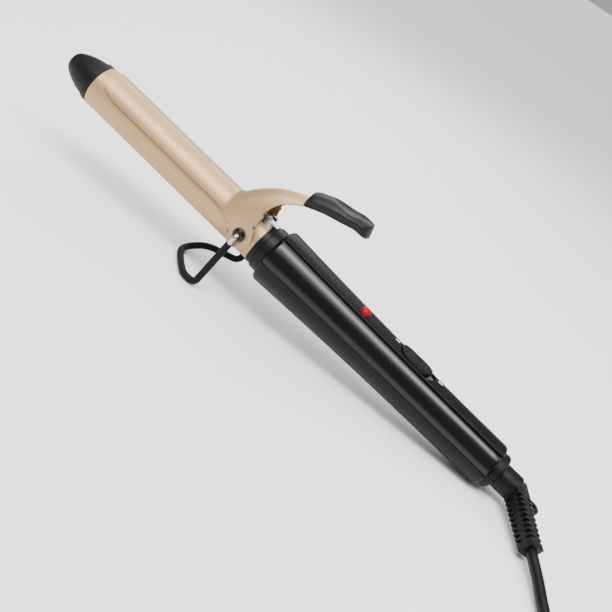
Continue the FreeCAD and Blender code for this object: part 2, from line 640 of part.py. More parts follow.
def oblong(name, length, width, height, x, z):
    """A flat bar with pointed round ends, like a small boat seen from above."""
    long, wide = float(length), float(width)
    start, half = float(x), wide / 2
    shoulder = 5.2
    edges = [
        Part.Arc(Vector(start, 0, 0), Vector(start + shoulder * 0.30, half * 0.66, 0),
                 Vector(start + shoulder, half, 0)).toShape(),
        Part.LineSegment(Vector(start + shoulder, half, 0), Vector(start + long - shoulder, half, 0)).toShape(),
        Part.Arc(Vector(start + long - shoulder, half, 0), Vector(start + long - shoulder * 0.30, half * 0.66, 0),
                 Vector(start + long, 0, 0)).toShape(),
        Part.Arc(Vector(start + long, 0, 0), Vector(start + long - shoulder * 0.30, -half * 0.66, 0),
                 Vector(start + long - shoulder, -half, 0)).toShape(),
        Part.LineSegment(Vector(start + long - shoulder, -half, 0), Vector(start + shoulder, -half, 0)).toShape(),
        Part.Arc(Vector(start + shoulder, -half, 0), Vector(start + shoulder * 0.30, -half * 0.66, 0),
                 Vector(start, 0, 0)).toShape()]
    solid = Part.Face(Part.Wire(edges)).extrude(Vector(0, 0, float(height)))
    solid.translate(Vector(0, 0, float(z)))
    return feature(name, solid)


def mark_shape(x, margin=0.0, rise=0.03):
    """A printed tick beside the knob, sunk a little into the strip's surface."""
    radius = handle_radius(x)
    tick = Part.makeBox(2.6 + 2 * margin, 0.9 + 2 * margin, 2.5 + rise,
                        Vector(x - 1.3 - margin, 0.3 - margin, radius - 0.6))
    outside = Part.makeCylinder(radius + rise, 10, Vector(x - 5, 0, 0), Vector(1, 0, 0))
    inside = Part.makeCylinder(radius - 0.12 - margin, 10, Vector(x - 5, 0, 0), Vector(1, 0, 0))
    return tick.common(outside).cut(inside)


def switch():
    """Sliding knob in the strip's recess, the switch under it, the lamp, its lens and the circuit board."""
    x, length = float(d.knob_x), float(d.knob_length)
    middle = x + length / 2
    cap = oblong("knob_plan", length, d.knob_width, 12, x, 8.0).Shape
    top = handle_radius(middle) + float(d.knob_rise)
    crown = Part.makeCylinder(30, 60, Vector(middle - 30, 0, top - 30), Vector(1, 0, 0))
    seat_radius = handle_radius(x, float(d.skin) - 0.1)
    seat = Part.makeCylinder(seat_radius, 60, Vector(middle - 30, 0, 0), Vector(1, 0, 0))
    cap = cap.common(crown).cut(seat)
    for step in (-7.2, -5.1, -3.0, 3.0, 5.1, 7.2):
        groove = Part.makeCylinder(0.45, 6.4, Vector(middle + step, -3.2, top + 0.12), Vector(0, 1, 0))
        cap = cap.cut(groove)
    stem = Part.makeBox(5.6, 2.8, seat_radius - 6.0, Vector(middle - 2.8, -1.4, 6.6))
    node("switch_knob", feature("switch_knob_solid", cap.fuse(stem).Solids[0]))

    body = block("switch_case", 14, 7, 4.6, middle - 7 + 1.2, 0, 0.4)
    node("switch_body", body)
    board = block("board_blank", 68, 12, 1.2, 46, 0, -0.9)
    holes = [cylinder("board_hole_%d" % i, 1.25, 4, hx, 0, -2) for i, hx in enumerate(BOARD_SCREWS)]
    node("circuit_board", cut("board_drilled", board, *holes))
    shanks = [Part.makeCylinder(1.2, 4.3, Vector(hx, 0, -3.9), Vector(0, 0, 1)) for hx in BOARD_SCREWS]
    heads = [Part.makeCylinder(2.1, 1.1, Vector(hx, 0, 0.32), Vector(0, 0, 1)) for hx in BOARD_SCREWS]
    node("board_screws", feature("board_screw_pair",
                                 Part.makeCompound([a.fuse(b) for a, b in zip(shanks, heads)])))

    y = float(d.lens_side)
    seat_z = math.sqrt(handle_radius(float(d.lens_x)) ** 2 - y * y)
    rim = Part.makeCylinder(float(d.lens_dia) / 2, 2.4, Vector(float(d.lens_x), y, seat_z - 2.2), Vector(0, 0, 1))
    rim = rim.common(Part.makeCylinder(seat_z + 0.2, 20, Vector(float(d.lens_x) - 10, 0, 0), Vector(1, 0, 0)))
    rim = rim.cut(Part.makeCylinder(handle_radius(float(d.lens_x) - 5, float(d.skin) - 0.05), 20,
                                    Vector(float(d.lens_x) - 10, 0, 0), Vector(1, 0, 0)))
    radius = (float(d.lens_dia) / 2) ** 2 / (2 * float(d.lens_height)) + float(d.lens_height) / 2
    ball = Part.makeSphere(radius, Vector(float(d.lens_x), y, seat_z + float(d.lens_height) - radius))
    dome = ball.common(Part.makeCylinder(float(d.lens_dia) / 2, 4, Vector(float(d.lens_x), y, seat_z - 0.4),
                                         Vector(0, 0, 1)))
    node("indicator_lens", feature("indicator_lens_solid", rim.fuse(dome).Solids[0]))
    lamp = turned_up(2.0, 4.6, float(d.lens_x), y, 2.4)
    node("indicator_lamp", feature("indicator_lamp_solid", lamp))

    marks = [mark_shape(x) for x in MARK_X]
    node("switch_marks", feature("switch_mark_pair", Part.makeCompound(marks)))


def turned_up(radius, height, x, y, z):
    """A small lamp: a cylinder with a domed top."""
    stem = Part.makeCylinder(radius, height - radius, Vector(x, y, z), Vector(0, 0, 1))
    return stem.fuse(Part.makeSphere(radius, Vector(x, y, z + height - radius))).removeSplitter()


def handle_screws():
    screws = []
    for x in SCREW_X:
        low = -handle_radius(x) + 0.5
        head = Part.makeCylinder(2.7, 1.1, Vector(x, 0, low), Vector(0, 0, 1))
        shank = Part.makeCylinder(1.28, 11.0, Vector(x, 0, low + 1.1), Vector(0, 0, 1))
        screws.append(head.fuse(shank))
    node("handle_screws", feature("handle_screw_pair", Part.makeCompound(screws)))


# ---------------------------------------------------------------- cord end


def end_collar():
    """Two half rings that hold the swivelling neck, parted level with the axis."""
    bore = d.shaft_dia / 2 + d.running_gap
    front, rear = d.handle_end, d.handle_end + d.end_collar_length
    gap = 0.35
    for side, start in (("upper", gap - 90), ("lower", 90 + gap)):
        body = turned("end_collar_body_" + side, [
            (front - 4, bore), (front - 4, Size(7.0)), (front + 0.02, Size(7.0)),
            (front + 0.02, d.end_collar_dia / 2), (rear - 1.2, d.end_collar_dia / 2),
            (rear, d.end_collar_dia / 2 - 1.2, (rear - 0.35, d.end_collar_dia / 2 - 0.35)),
            (rear, bore)], Size(180 - 2 * gap))
        body.Placement = Placement(Vector(), Rotation(Vector(1, 0, 0), start))
        node("end_collar_" + side, body)


def neck():
    start = d.handle_end + d.end_collar_length + 0.25
    shaft = d.shaft_dia / 2
    body = turned("neck_body", [
        (Size(137.5), Size(2.9)), (Size(137.5), shaft), (d.handle_end - 6.1, shaft),
        (d.handle_end - 6.1, Size(6.2)), (d.handle_end - 4.3, Size(6.2)), (d.handle_end - 4.3, shaft),
        (start, shaft), (start, d.neck_dia / 2 - 0.6), (start + 0.6, d.neck_dia / 2),
        (d.neck_end - 1.2, d.neck_dia / 2), (d.neck_end, d.neck_dia / 2 - 1.2), (d.neck_end, Size(2.9))])
    node("swivel_neck", body)
    rings = []
    for x in SLIP_RINGS:
        ring = Part.makeCylinder(5.4, 1.8, Vector(x, 0, 0), Vector(1, 0, 0))
        rings.append(ring.cut(Part.makeCylinder(float(shaft) + 0.01, 1.8, Vector(x, 0, 0), Vector(1, 0, 0))))
    node("slip_rings", feature("slip_ring_pair", Part.makeCompound(rings)))
    leaves = []
    for x in SLIP_RINGS:
        leaf = Part.makeBox(1.4, 8.0, 0.4, Vector(x + 0.2, -4.0, 5.5))
        tail = Part.makeBox(1.4, 0.4, 7.6, Vector(x + 0.2, -4.4, -1.7))
        leaves.append(leaf.fuse(tail.common(Part.makeBox(9, 9, 7.6, Vector(x - 3, -8, 5.5)))).Solids[0])
    node("contact_springs", feature("contact_spring_pair", Part.makeCompound(leaves)))
    wires = []
    for sign, x in ((1, SLIP_RINGS[0] + 0.9), (-1, SLIP_RINGS[1] + 0.9)):
        path, _ = rounded_path([(114.5, sign * 3.2, -1.9), (122, sign * 4.4, -1.9), (131, sign * 6.2, 1.0),
                                (x - 1.6, sign * 5.6, 4.6), (x, sign * 5.4, 5.4)])
        wires.append(tube_along(path, 0.7))
    node("inner_mains_wires", feature("inner_mains_pair", Part.makeCompound(wires)))


# ---------------------------------------------------------------- strain relief, cord, coil and plug

# The cord's route on the table, in the frame of the finished part, from the relief's end to the coil.
CORD_ROUTE = [(164.1, -31.4, 6.4), (169.6, -42.0, 5.4), (175.2, -54.5, 3.5), (180.9, -67.4, 2.66),
              (190.9, -77.1, 2.66), (203.9, -82.3, 2.8), (247.5, -82.2, 3.3)]
# The short stretch from the coil to the plug.
TAIL_ROUTE = [(284.8, -78.9, 14.0), (304.1, -75.5, 12.2), (315.6, -67.0, 9.8), (322.0, -54.2, 7.8), (322.0, -47.0, 7.2)]
COIL_CENTRE = (263.0, -45.0)
COIL_LIFT = 0.8
PLUG_BODY, PLUG_RELIEF, PLUG_HEIGHT = 33.0, 12.0, 6.9
SHANK, SHANK_RADIUS = 7.9, 1.6         # the thinner end of each pin, moulded into the plug


def square_section(centre, along, side):
    """A square on one of its corners, across a bar that runs along the given direction."""
    across = along.cross(Vector(0, 0, 1))
    across.normalize()
    up = across.cross(along)
    reach = side / math.sqrt(2)
    corners = [centre + up * reach, centre + across * reach, centre - up * reach, centre - across * reach]
    return Part.makePolygon(corners + corners[:1])


def strain_relief(neck_centre, neck_shape):
    """Tapered square bar bent out of the neck, with a small loop to hang the iron by."""
    end = Vector(*CORD_ROUTE[0])
    along = end - neck_centre
    length = along.Length
    along.normalize()
    bar = Part.makeLoft([square_section(neck_centre, along, float(d.relief_side)),
                         square_section(end, along, float(d.relief_end_side))], True, True)
    bar = bar.makeFillet(0.9, [e for e in bar.Edges if e.Length > 20])
    across = along.cross(Vector(0, 0, 1))
    across.normalize()
    loop_centre = neck_centre + along * (length * 0.42) - across * (float(d.relief_side) * 0.62) + Vector(0, 0, 1.0)
    loop = Part.makeTorus(3.9, 1.1, loop_centre, Vector(0, 0, 1))
    shape = bar.fuse(loop).cut(neck_shape)
    node("strain_relief", feature("strain_relief_moulding", max(shape.Solids, key=lambda s: s.Volume)))
    print("strain relief %.1f mm long" % length)


def cord():
    radius = float(d.cord_dia) / 2
    for label, route in (("power_cord", CORD_ROUTE), ("cord_tail", TAIL_ROUTE)):
        path, radii = rounded_path(route)
        tube = tube_along(path, radius)
        print("%s: %.1f mm, arc radii %s mm" % (label, path.Length, ", ".join("%.0f" % r for r in radii)))
        print("%s: volume over section times length %.4f" % (label, tube.Volume / (math.pi * radius ** 2 *
                                                                                  path.Length)))
        node(label, feature(label + "_tube", tube))


def coil():
    """The put-away length as one ring of the turns' outer shape, and the strap that ties it."""
    centre = Vector(COIL_CENTRE[0], COIL_CENTRE[1], COIL_LIFT)
    mean, width, height = float(d.coil_mean_dia) / 2, float(d.coil_width), float(d.coil_height)
    ring = Part.makeCylinder(mean + width / 2, height, centre)
    ring = ring.cut(Part.makeCylinder(mean - width / 2, height, centre))
    ring = ring.makeFillet(2.4, [e for e in ring.Edges if len(e.Vertexes) == 1])
    node("cord_coil", feature("cord_coil_ring", ring))
    strap = 0.7
    outside = Part.makeBox(width + 2 * strap + 0.1, 9, height + 2 * strap + 0.1,
                           centre + Vector(mean - width / 2 - strap - 0.05, -4.5, -strap - 0.05))
    inside = Part.makeBox(width + 0.1, 9, height + 0.1, centre + Vector(mean - width / 2 - 0.05, -4.5, -0.05))
    band = outside.cut(inside)
    band.rotate(centre, Vector(0, 0, 1), TIE_ANGLE)
    node("cord_tie", feature("cord_tie_band", band))


def plug():
    """Flat two-pin plug lying on the table at the cord's end."""
    entry = Vector(*TAIL_ROUTE[-1])
    along = entry - Vector(*TAIL_ROUTE[-2])
    along.z = 0
    along.normalize()
    angle = math.degrees(math.atan2(along.y, along.x))

    def section(x, width, thick, corner):
        spots = [Vector(x, sy * (width / 2 - c1), sz * (thick / 2 - c2))
                 for sy, sz, c1, c2 in ((-1, -1, corner, 0), (1, -1, corner, 0), (1, -1, 0, corner),
                                        (1, 1, 0, corner), (1, 1, corner, 0), (-1, 1, corner, 0),
                                        (-1, 1, 0, corner), (-1, -1, 0, corner))]
        return Part.makePolygon(spots + spots[:1])

    relief = Part.makeLoft([section(0, 6.4, 6.4, 1.9), section(PLUG_RELIEF, 9.2, 8.6, 2.4)], True, True)
    body = Part.makeLoft([section(PLUG_RELIEF, 13, 11, 3), section(PLUG_RELIEF + 9, 21, 13.4, 4),
                          section(PLUG_RELIEF + 20, 31, 13.7, 4.2), section(PLUG_RELIEF + PLUG_BODY, 34, 13.7, 4.2)],
                         True, True)
    shape = body.fuse(relief)
    spacing = float(d.pin_spacing)
    start, reach, radius = PLUG_RELIEF + PLUG_BODY, float(d.pin_length), float(d.pin_dia) / 2
    pins = []
    for sign in (1, -1):
        foot = Vector(start, sign * spacing / 2, 0)
        seat = Part.makeCylinder(SHANK_RADIUS, SHANK + 0.1, foot, Vector(-1, 0, 0))
        shape = shape.cut(seat)
        pin = Part.makeCylinder(radius, reach, foot, Vector(1, 0, 0))
        pin = pin.makeFillet(1.2, [e for e in pin.Edges if e.CenterOfMass.x > start + 1 and len(e.Vertexes) == 1])
        pins.append(pin.fuse(Part.makeCylinder(SHANK_RADIUS, SHANK, foot, Vector(-1, 0, 0))))
    place_at = Placement(Vector(entry.x, entry.y, PLUG_HEIGHT), Rotation(Vector(0, 0, 1), angle))
    for label, solid in (("plug_body", shape), ("plug_pins", Part.makeCompound(pins))):
        obj = feature(label + "_solid", solid)
        obj.Placement = place_at
        node(label, obj)
    tip = place_at.multVec(Vector(start + reach, spacing / 2, 0))
    other = place_at.multVec(Vector(start + reach, -spacing / 2, 0))
    print("plug pins end at", tip, other, "and point along", along)


# ---------------------------------------------------------------- laying the iron on the table


def lay_on_table():
    """Tilts every piece but the cord's, and sets the origin under the middle of their common box."""
    tilt = Rotation(Vector(0, 1, 0), float(d.rest_tilt))
    own = list(NODES.values())
    box = FreeCAD.BoundBox()
    for obj in own:
        shape = obj.Shape.copy()
        shape.Placement = Placement(Vector(), tilt).multiply(shape.Placement)
        box.add(shape.optimalBoundingBox(False, False))
    shift = Vector(-box.Center.x, -box.Center.y, -box.ZMin)
    rest = Placement(shift, tilt)
    for obj in own:
        for axis in ("x", "y", "z"):
            obj.setExpression("Placement.Base." + axis, None)
        obj.Placement = rest.multiply(obj.Placement)
    print("box without the cord", box.XLength, box.YLength, box.ZLength, "shift", shift)
    return rest


def check_and_write():
    os.makedirs("parts", exist_ok=True)
    for label, obj in NODES.items():
        if "Invalid" in obj.State or "Error" in obj.State:
            raise RuntimeError("%s failed: %s" % (label, obj.State))
        if obj.Shape.isNull() or not obj.Shape.isValid():
            raise RuntimeError("%s has no valid shape" % label)
        obj.Shape.exportStep("parts/%s.step" % label)
        box = obj.Shape.BoundBox
        print("%-22s %9.1f mm3 %d solid  x %7.1f %7.1f  y %6.1f %6.1f  z %6.1f %6.1f" % (
            label, obj.Shape.Volume, len(obj.Shape.Solids), box.XMin, box.XMax, box.YMin, box.YMax, box.ZMin,
            box.ZMax))


tip_cap()
barrel()
heater()
clip()
doc.recompute()
thumb_grip()
pivots()
spring()
stand()
collars()
handle()
switch()
handle_screws()
end_collar()
neck()
doc.recompute()
rest = lay_on_table()
doc.recompute()
neck_end = rest.multVec(Vector(float(d.neck_end), 0, 0))
print("neck ends at", neck_end, "pivot", rest.multVec(Vector(float(d.pivot_x), 0, float(d.pivot_z))),
      "iron axis", rest.Rotation.multVec(Vector(1, 0, 0)), "switch side", rest.Rotation.multVec(Vector(0, 0, 1)))
strain_relief(neck_end, NODES["swivel_neck"].Shape)
cord()
coil()
plug()
doc.recompute()
for obj in doc.Objects:
    if "Invalid" in obj.State or "Error" in obj.State:
        raise RuntimeError("%s failed: %s" % (obj.Name, obj.State))
check_and_write()
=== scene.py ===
"""A hair curling iron on its wire stand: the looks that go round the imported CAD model."""

import json
import math

import bmesh
import bpy
from bpy.props import FloatProperty, FloatVectorProperty, IntProperty, PointerProperty
from bpy.types import Operator, Panel, PropertyGroup
from mathutils import Matrix, Vector


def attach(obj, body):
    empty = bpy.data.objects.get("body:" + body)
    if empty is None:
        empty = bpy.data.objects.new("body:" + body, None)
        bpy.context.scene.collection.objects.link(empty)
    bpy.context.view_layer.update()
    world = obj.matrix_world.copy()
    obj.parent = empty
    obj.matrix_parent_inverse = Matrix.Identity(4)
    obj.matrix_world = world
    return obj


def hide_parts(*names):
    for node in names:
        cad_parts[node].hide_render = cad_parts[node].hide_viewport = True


bl_info = {
    "name": "Curling Iron",
    "version": (1, 0, 0),
    "blender": (4, 5, 0),
    "location": "View3D > Sidebar > Curling Iron",
    "description": "Builds the visible pieces of a hair curling iron around its CAD frame",
    "category": "Object",
}

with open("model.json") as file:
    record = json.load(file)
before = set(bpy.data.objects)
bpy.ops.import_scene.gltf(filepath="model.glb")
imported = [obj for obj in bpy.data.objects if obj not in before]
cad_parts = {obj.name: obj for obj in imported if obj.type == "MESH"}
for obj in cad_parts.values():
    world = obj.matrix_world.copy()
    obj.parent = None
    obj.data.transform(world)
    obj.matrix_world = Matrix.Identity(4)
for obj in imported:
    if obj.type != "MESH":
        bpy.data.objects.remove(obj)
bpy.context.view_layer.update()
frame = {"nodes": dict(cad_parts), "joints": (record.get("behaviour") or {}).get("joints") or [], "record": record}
JOINTS = {joint["name"]: joint for joint in frame["joints"]}

MM = 0.001
PIVOT_IN_IRON = Vector((-8.4, 0.0, 0.8))      # the clip's pivot, in the iron's own frame, in mm


def iron_frame():
    """The iron's own frame: X along the barrel from the collar's front edge, Z towards the lever, in mm."""
    along = Vector(JOINTS["cord_swivel"]["axis"]).normalized()
    across = Vector(JOINTS["clip_hinge"]["axis"]).normalized()
    up = along.cross(across)
    turn = Matrix((along, across, up)).transposed()
    pivot = Vector(JOINTS["clip_hinge"]["pos_m"])
    return Matrix.Translation(pivot - turn @ (PIVOT_IN_IRON * MM)) @ (turn * MM).to_4x4()


IRON = iron_frame()

# ------------------------------------------------------------------ sizes and colours a user may change


class IronSizes(PropertyGroup):
    barrel: FloatProperty(name="Barrel", description="Outside diameter of the barrel",
                          default=22.0, min=19.0, max=25.0)
    sheet: FloatProperty(name="Clip sheet", description="Thickness of the clip's sheet metal",
                         default=0.9, min=0.5, max=1.5)
    handle_front: FloatProperty(name="Handle front", description="Handle's diameter beside the barrel",
                                default=30.5, min=26.0, max=34.0)
    handle_rear: FloatProperty(name="Handle rear", description="Handle's diameter at the cord end",
                               default=24.14, min=20.0, max=30.0)
    wire: FloatProperty(name="Stand wire", description="Diameter of the stand's steel wire",
                        default=2.5, min=1.5, max=3.0)
    sleeve: FloatProperty(name="Stand sleeve", description="Diameter of the sleeve on the wire",
                          default=3.6, min=2.6, max=4.5)
    steps: IntProperty(name="Round steps", description="Faces round a turned piece", default=96,
                       min=32, max=192)


class CordSizes(PropertyGroup):
    diameter: FloatProperty(name="Cord", description="Diameter of the mains cord", default=0.0053,
                            min=0.004, max=0.008, unit="LENGTH")
    length: FloatProperty(name="Cord length", description="Length from the strain relief to the plug",
                          default=1.8, min=1.0, max=3.0, unit="LENGTH")
    coil: FloatProperty(name="Coil", description="Diameter of the coil at the middle of its turns",
                        default=0.0635, min=0.05, max=0.09, unit="LENGTH")


def hex_linear(code):
    """An sRGB hex colour as linear RGB."""
    parts = [int(code[i:i + 2], 16) / 255 for i in (1, 3, 5)]
    return [c / 12.92 if c <= 0.04045 else ((c + 0.055) / 1.055) ** 2.4 for c in parts]


class FinishColours(PropertyGroup):
    coat: FloatVectorProperty(name="Coating", description="Colour of the barrel's coating", subtype="COLOR",
                              default=hex_linear("#AF8F66"), min=0, max=1)
    lens: FloatVectorProperty(name="Lens", description="Colour of the indicator lens", subtype="COLOR",
                              default=hex_linear("#870A0D"), min=0, max=1)
    floor: FloatVectorProperty(name="Floor", description="Colour of the studio floor", subtype="COLOR",
                               default=hex_linear("#F4F4F4"), min=0, max=1)


def sizes():
    return bpy.context.scene.iron_sizes


def colours():
    return bpy.context.scene.iron_colours


# ------------------------------------------------------------------ materials

def add_node(tree, kind, inputs=None, links=None, **settings):
    """Adds a node, sets its values and links its inputs from other nodes' outputs."""
    node = tree.nodes.new(kind)
    for name, value in settings.items():
        setattr(node, name, value)
    for name, value in (inputs or {}).items():
        node.inputs[name].default_value = value
    for name, output in (links or {}).items():
        tree.links.new(output, node.inputs[name])
    return node


def new_material(name, **values):
    """A material with a Principled shader; returns the material, its node tree and the shader."""
    material = bpy.data.materials.new(name)
    material.use_nodes = True
    tree = material.node_tree
    shader = tree.nodes["Principled BSDF"]
    for socket, value in values.items():
        key = socket.replace("_", " ")
        if key == "Base Color":
            value = (*value, 1.0)
        shader.inputs[key].default_value = value
    return material, tree, shader


def grained(name, colour, darker, roughness, grain_mm, depth_mm, spread=0.06, **values):
    """A plastic or rubber with a fine moulded grain: bump, and a little change of colour and roughness."""
    material, tree, shader = new_material(name, Roughness=roughness, **values)
    place = add_node(tree, "ShaderNodeTexCoord")
    fine = add_node(tree, "ShaderNodeTexNoise", {"Scale": 1000.0 / grain_mm, "Detail": 3.0, "Roughness": 0.6},
                    {"Vector": place.outputs["Object"]})
    broad = add_node(tree, "ShaderNodeTexNoise", {"Scale": 60.0, "Detail": 4.0, "Roughness": 0.55},
                     {"Vector": place.outputs["Object"]})
    mix = add_node(tree, "ShaderNodeMix", {"A": (*darker, 1.0), "B": (*colour, 1.0)}, data_type="RGBA")
    tint = add_node(tree, "ShaderNodeMath", {1: 0.6}, {0: fine.outputs["Fac"]}, operation="MULTIPLY")
    both = add_node(tree, "ShaderNodeMath", {1: 0.4, 2: 0.0}, {0: broad.outputs["Fac"], 2: tint.outputs[0]},
                    operation="MULTIPLY_ADD")
    tree.links.new(both.outputs[0], mix.inputs["Factor"])
    tree.links.new(mix.outputs["Result"], shader.inputs["Base Color"])
    rough = add_node(tree, "ShaderNodeMapRange", {"To Min": roughness - spread, "To Max": roughness + spread},
                     {"Value": broad.outputs["Fac"]})
    tree.links.new(rough.outputs["Result"], shader.inputs["Roughness"])
    bump = add_node(tree, "ShaderNodeBump", {"Strength": 0.6, "Distance": depth_mm * MM},
                    {"Height": fine.outputs["Fac"]})
    tree.links.new(bump.outputs["Normal"], shader.inputs["Normal"])
    return material


def champagne_coat():
    """Satin metallic lacquer on aluminium: warm, with flakes that sparkle and soft wide highlights."""
    coat = tuple(colours().coat)
    material, tree, shader = new_material("champagne_metallic_lacquer", Metallic=0.68, Roughness=0.46,
                                          Coat_Weight=0.12, Coat_Roughness=0.3)
    place = add_node(tree, "ShaderNodeTexCoord")
    # flakes are about 0.05 mm in the lacquer; drawn at 0.28 mm so that their sparkle still shows
    flakes = add_node(tree, "ShaderNodeTexVoronoi", {"Scale": 1000.0 / 0.28},
                      {"Vector": place.outputs["Object"]})
    haze = add_node(tree, "ShaderNodeTexNoise", {"Scale": 220.0, "Detail": 5.0, "Roughness": 0.6},
                    {"Vector": place.outputs["Object"]})
    lighter = tuple(min(1.0, c * 1.22 + 0.03) for c in coat)
    darker = tuple(c * 0.82 for c in coat)
    mix = add_node(tree, "ShaderNodeMix", {"A": (*darker, 1.0), "B": (*lighter, 1.0)}, data_type="RGBA")
    level = add_node(tree, "ShaderNodeMath", {1: 0.55}, {0: haze.outputs["Fac"]}, operation="MULTIPLY")
    pick = add_node(tree, "ShaderNodeSeparateColor", links={"Color": flakes.outputs["Color"]})
    speck = add_node(tree, "ShaderNodeMath", {1: 0.45, 2: 0.0}, {0: pick.outputs["Red"], 2: level.outputs[0]},
                     operation="MULTIPLY_ADD")
    tree.links.new(speck.outputs[0], mix.inputs["Factor"])
    # painted shade: the cut rim and its rounding are darkened to stand for the shadow gap under the clip's edge
    cut = add_node(tree, "ShaderNodeAttribute", attribute_name="cut_edge_painted_shade")
    gap_painted_shade = add_node(tree, "ShaderNodeMix", {"B": (*hex_linear("#43352A"), 1.0)},
                    {"Factor": cut.outputs["Fac"], "A": mix.outputs["Result"]}, data_type="RGBA")
    tree.links.new(gap_painted_shade.outputs["Result"], shader.inputs["Base Color"])
    rough = add_node(tree, "ShaderNodeMapRange", {"To Min": 0.4, "To Max": 0.54},
                     {"Value": pick.outputs["Green"]})
    tree.links.new(rough.outputs["Result"], shader.inputs["Roughness"])
    bump = add_node(tree, "ShaderNodeBump", {"Strength": 0.35, "Distance": 0.00003},
                    {"Height": pick.outputs["Blue"]})
    tree.links.new(bump.outputs["Normal"], shader.inputs["Normal"])
    return material


def drawn_steel(name, code, roughness, metallic=1.0, streak_mm=0.35):
    """Bright plated metal with faint drawing lines that vary its roughness."""
    material, tree, shader = new_material(name, Base_Color=hex_linear(code), Metallic=metallic,
                                          Roughness=roughness)
    place = add_node(tree, "ShaderNodeTexCoord")
    noise = add_node(tree, "ShaderNodeTexNoise", {"Scale": 1000.0 / streak_mm, "Detail": 3.0},
                     {"Vector": place.outputs["Object"]})
    rough = add_node(tree, "ShaderNodeMapRange", {"To Min": roughness * 0.7, "To Max": roughness * 1.4},
                     {"Value": noise.outputs["Fac"]})
    tree.links.new(rough.outputs["Result"], shader.inputs["Roughness"])
    bump = add_node(tree, "ShaderNodeBump", {"Strength": 0.2, "Distance": 0.00002},
                    {"Height": noise.outputs["Fac"]})
    tree.links.new(bump.outputs["Normal"], shader.inputs["Normal"])
    return material


def polished_abs():
    """Polished black ABS: deep black with a clear sheen and a faint ripple from the mould."""
    material, tree, shader = new_material("polished_black_abs", Base_Color=hex_linear("#050506"),
                                          Roughness=0.2, Specular_IOR_Level=0.3, Coat_Weight=0.08,
                                          Coat_Roughness=0.12)
    place = add_node(tree, "ShaderNodeTexCoord")
    ripple = add_node(tree, "ShaderNodeTexNoise", {"Scale": 45.0, "Detail": 1.0},
                      {"Vector": place.outputs["Object"]})
    wear = add_node(tree, "ShaderNodeTexNoise", {"Scale": 900.0, "Detail": 2.0},
                    {"Vector": place.outputs["Object"]})
    rough = add_node(tree, "ShaderNodeMapRange", {"To Min": 0.17, "To Max": 0.26},
                     {"Value": wear.outputs["Fac"]})
    tree.links.new(rough.outputs["Result"], shader.inputs["Roughness"])
    bump = add_node(tree, "ShaderNodeBump", {"Strength": 0.12, "Distance": 0.00012},
                    {"Height": ripple.outputs["Fac"]})
    tree.links.new(bump.outputs["Normal"], shader.inputs["Normal"])
    return material


def red_lens():
    """Red polycarbonate: one saturated red with a soft highlight."""
    red = tuple(colours().lens)
    material, _, _ = new_material("red_polycarbonate", Base_Color=red, Roughness=0.4, Specular_IOR_Level=0.12)
    return material


def lamp_glass():
    """Neon lamp glass with a warm tint."""
    material, _, _ = new_material("neon_lamp_glass", Base_Color=hex_linear("#E8A27A"), Roughness=0.08,
                                  Transmission_Weight=0.7, IOR=1.5)
    return material


def build_materials():
    """One material for each real finish, by the name of the record's slot."""
    made = {
        "gold": champagne_coat(),
        # PBT with a fine spark-eroded grain: dark grey with dull, wide highlights
        "tip_black": grained("spark_grained_pbt", hex_linear("#111112"), hex_linear("#080809"), 0.52, 0.34,
                             0.035, Specular_IOR_Level=0.16),
        # ABS with a soft matt grain
        "body_black": grained("soft_matt_abs", hex_linear("#0D0D0E"), hex_linear("#070708"), 0.42, 0.3, 0.02,
                              Specular_IOR_Level=0.16),
        "gloss_black": polished_abs(),
        # nylon moulding with a satin face, charcoal rather than black
        "grip_black": grained("satin_nylon", hex_linear("#131314"), hex_linear("#0B0B0C"), 0.4, 0.3, 0.006,
                              Specular_IOR_Level=0.2),
        "lens_red": red_lens(),
        "lamp_glass": lamp_glass(),
        # pad printed ink: thin, matt and slightly uneven
        "mark_white": grained("pad_printed_ink", hex_linear("#F2F2F2"), hex_linear("#D8D8D8"), 0.5, 0.2,
                              0.01),
        "steel": drawn_steel("zinc_plated_steel", "#B9B6B0", 0.26),
        "aluminium": drawn_steel("mill_finish_aluminium", "#C4C5C8", 0.38),
        # unglazed steatite: dry and chalky
        "ceramic": grained("unglazed_steatite", hex_linear("#E4DFD2"), hex_linear("#CFC8B8"), 0.75, 0.25,
                           0.02),
        # solder mask over glass-epoxy board: glossy green with the weave just under it
        "board_green": grained("solder_mask", hex_linear("#1E6B35"), hex_linear("#14502A"), 0.3, 0.4, 0.02),
        "switch_grey": grained("grey_nylon", hex_linear("#58585B"), hex_linear("#454548"), 0.5, 0.3, 0.02),
        "brass": drawn_steel("plated_brass", "#C9A35A", 0.3),
        "wire_red": grained("silicone_lead", hex_linear("#8A1F16"), hex_linear("#6E150F"), 0.5, 0.2, 0.01),
        # silicone sleeve: black, matt, faintly dusty
        "sleeve_black": grained("matt_silicone_sleeve", hex_linear("#0F0F10"), hex_linear("#080809"), 0.62,
                                0.25, 0.02, Specular_IOR_Level=0.16),
        # PVC flex: satin black with the faint waviness of the cores beneath
        "cord_black": grained("satin_pvc_flex", hex_linear("#0E0E0F"), hex_linear("#070708"), 0.42, 0.5, 0.02,
                              Specular_IOR_Level=0.18),
        "plug_black": grained("moulded_pvc", hex_linear("#101011"), hex_linear("#09090A"), 0.48, 0.35, 0.025,
                              Specular_IOR_Level=0.18),
        "plated": drawn_steel("nickel_plated_brass", "#D2D2D4", 0.16),
    }
    return made


MATERIALS = {}


# ------------------------------------------------------------------ shapes

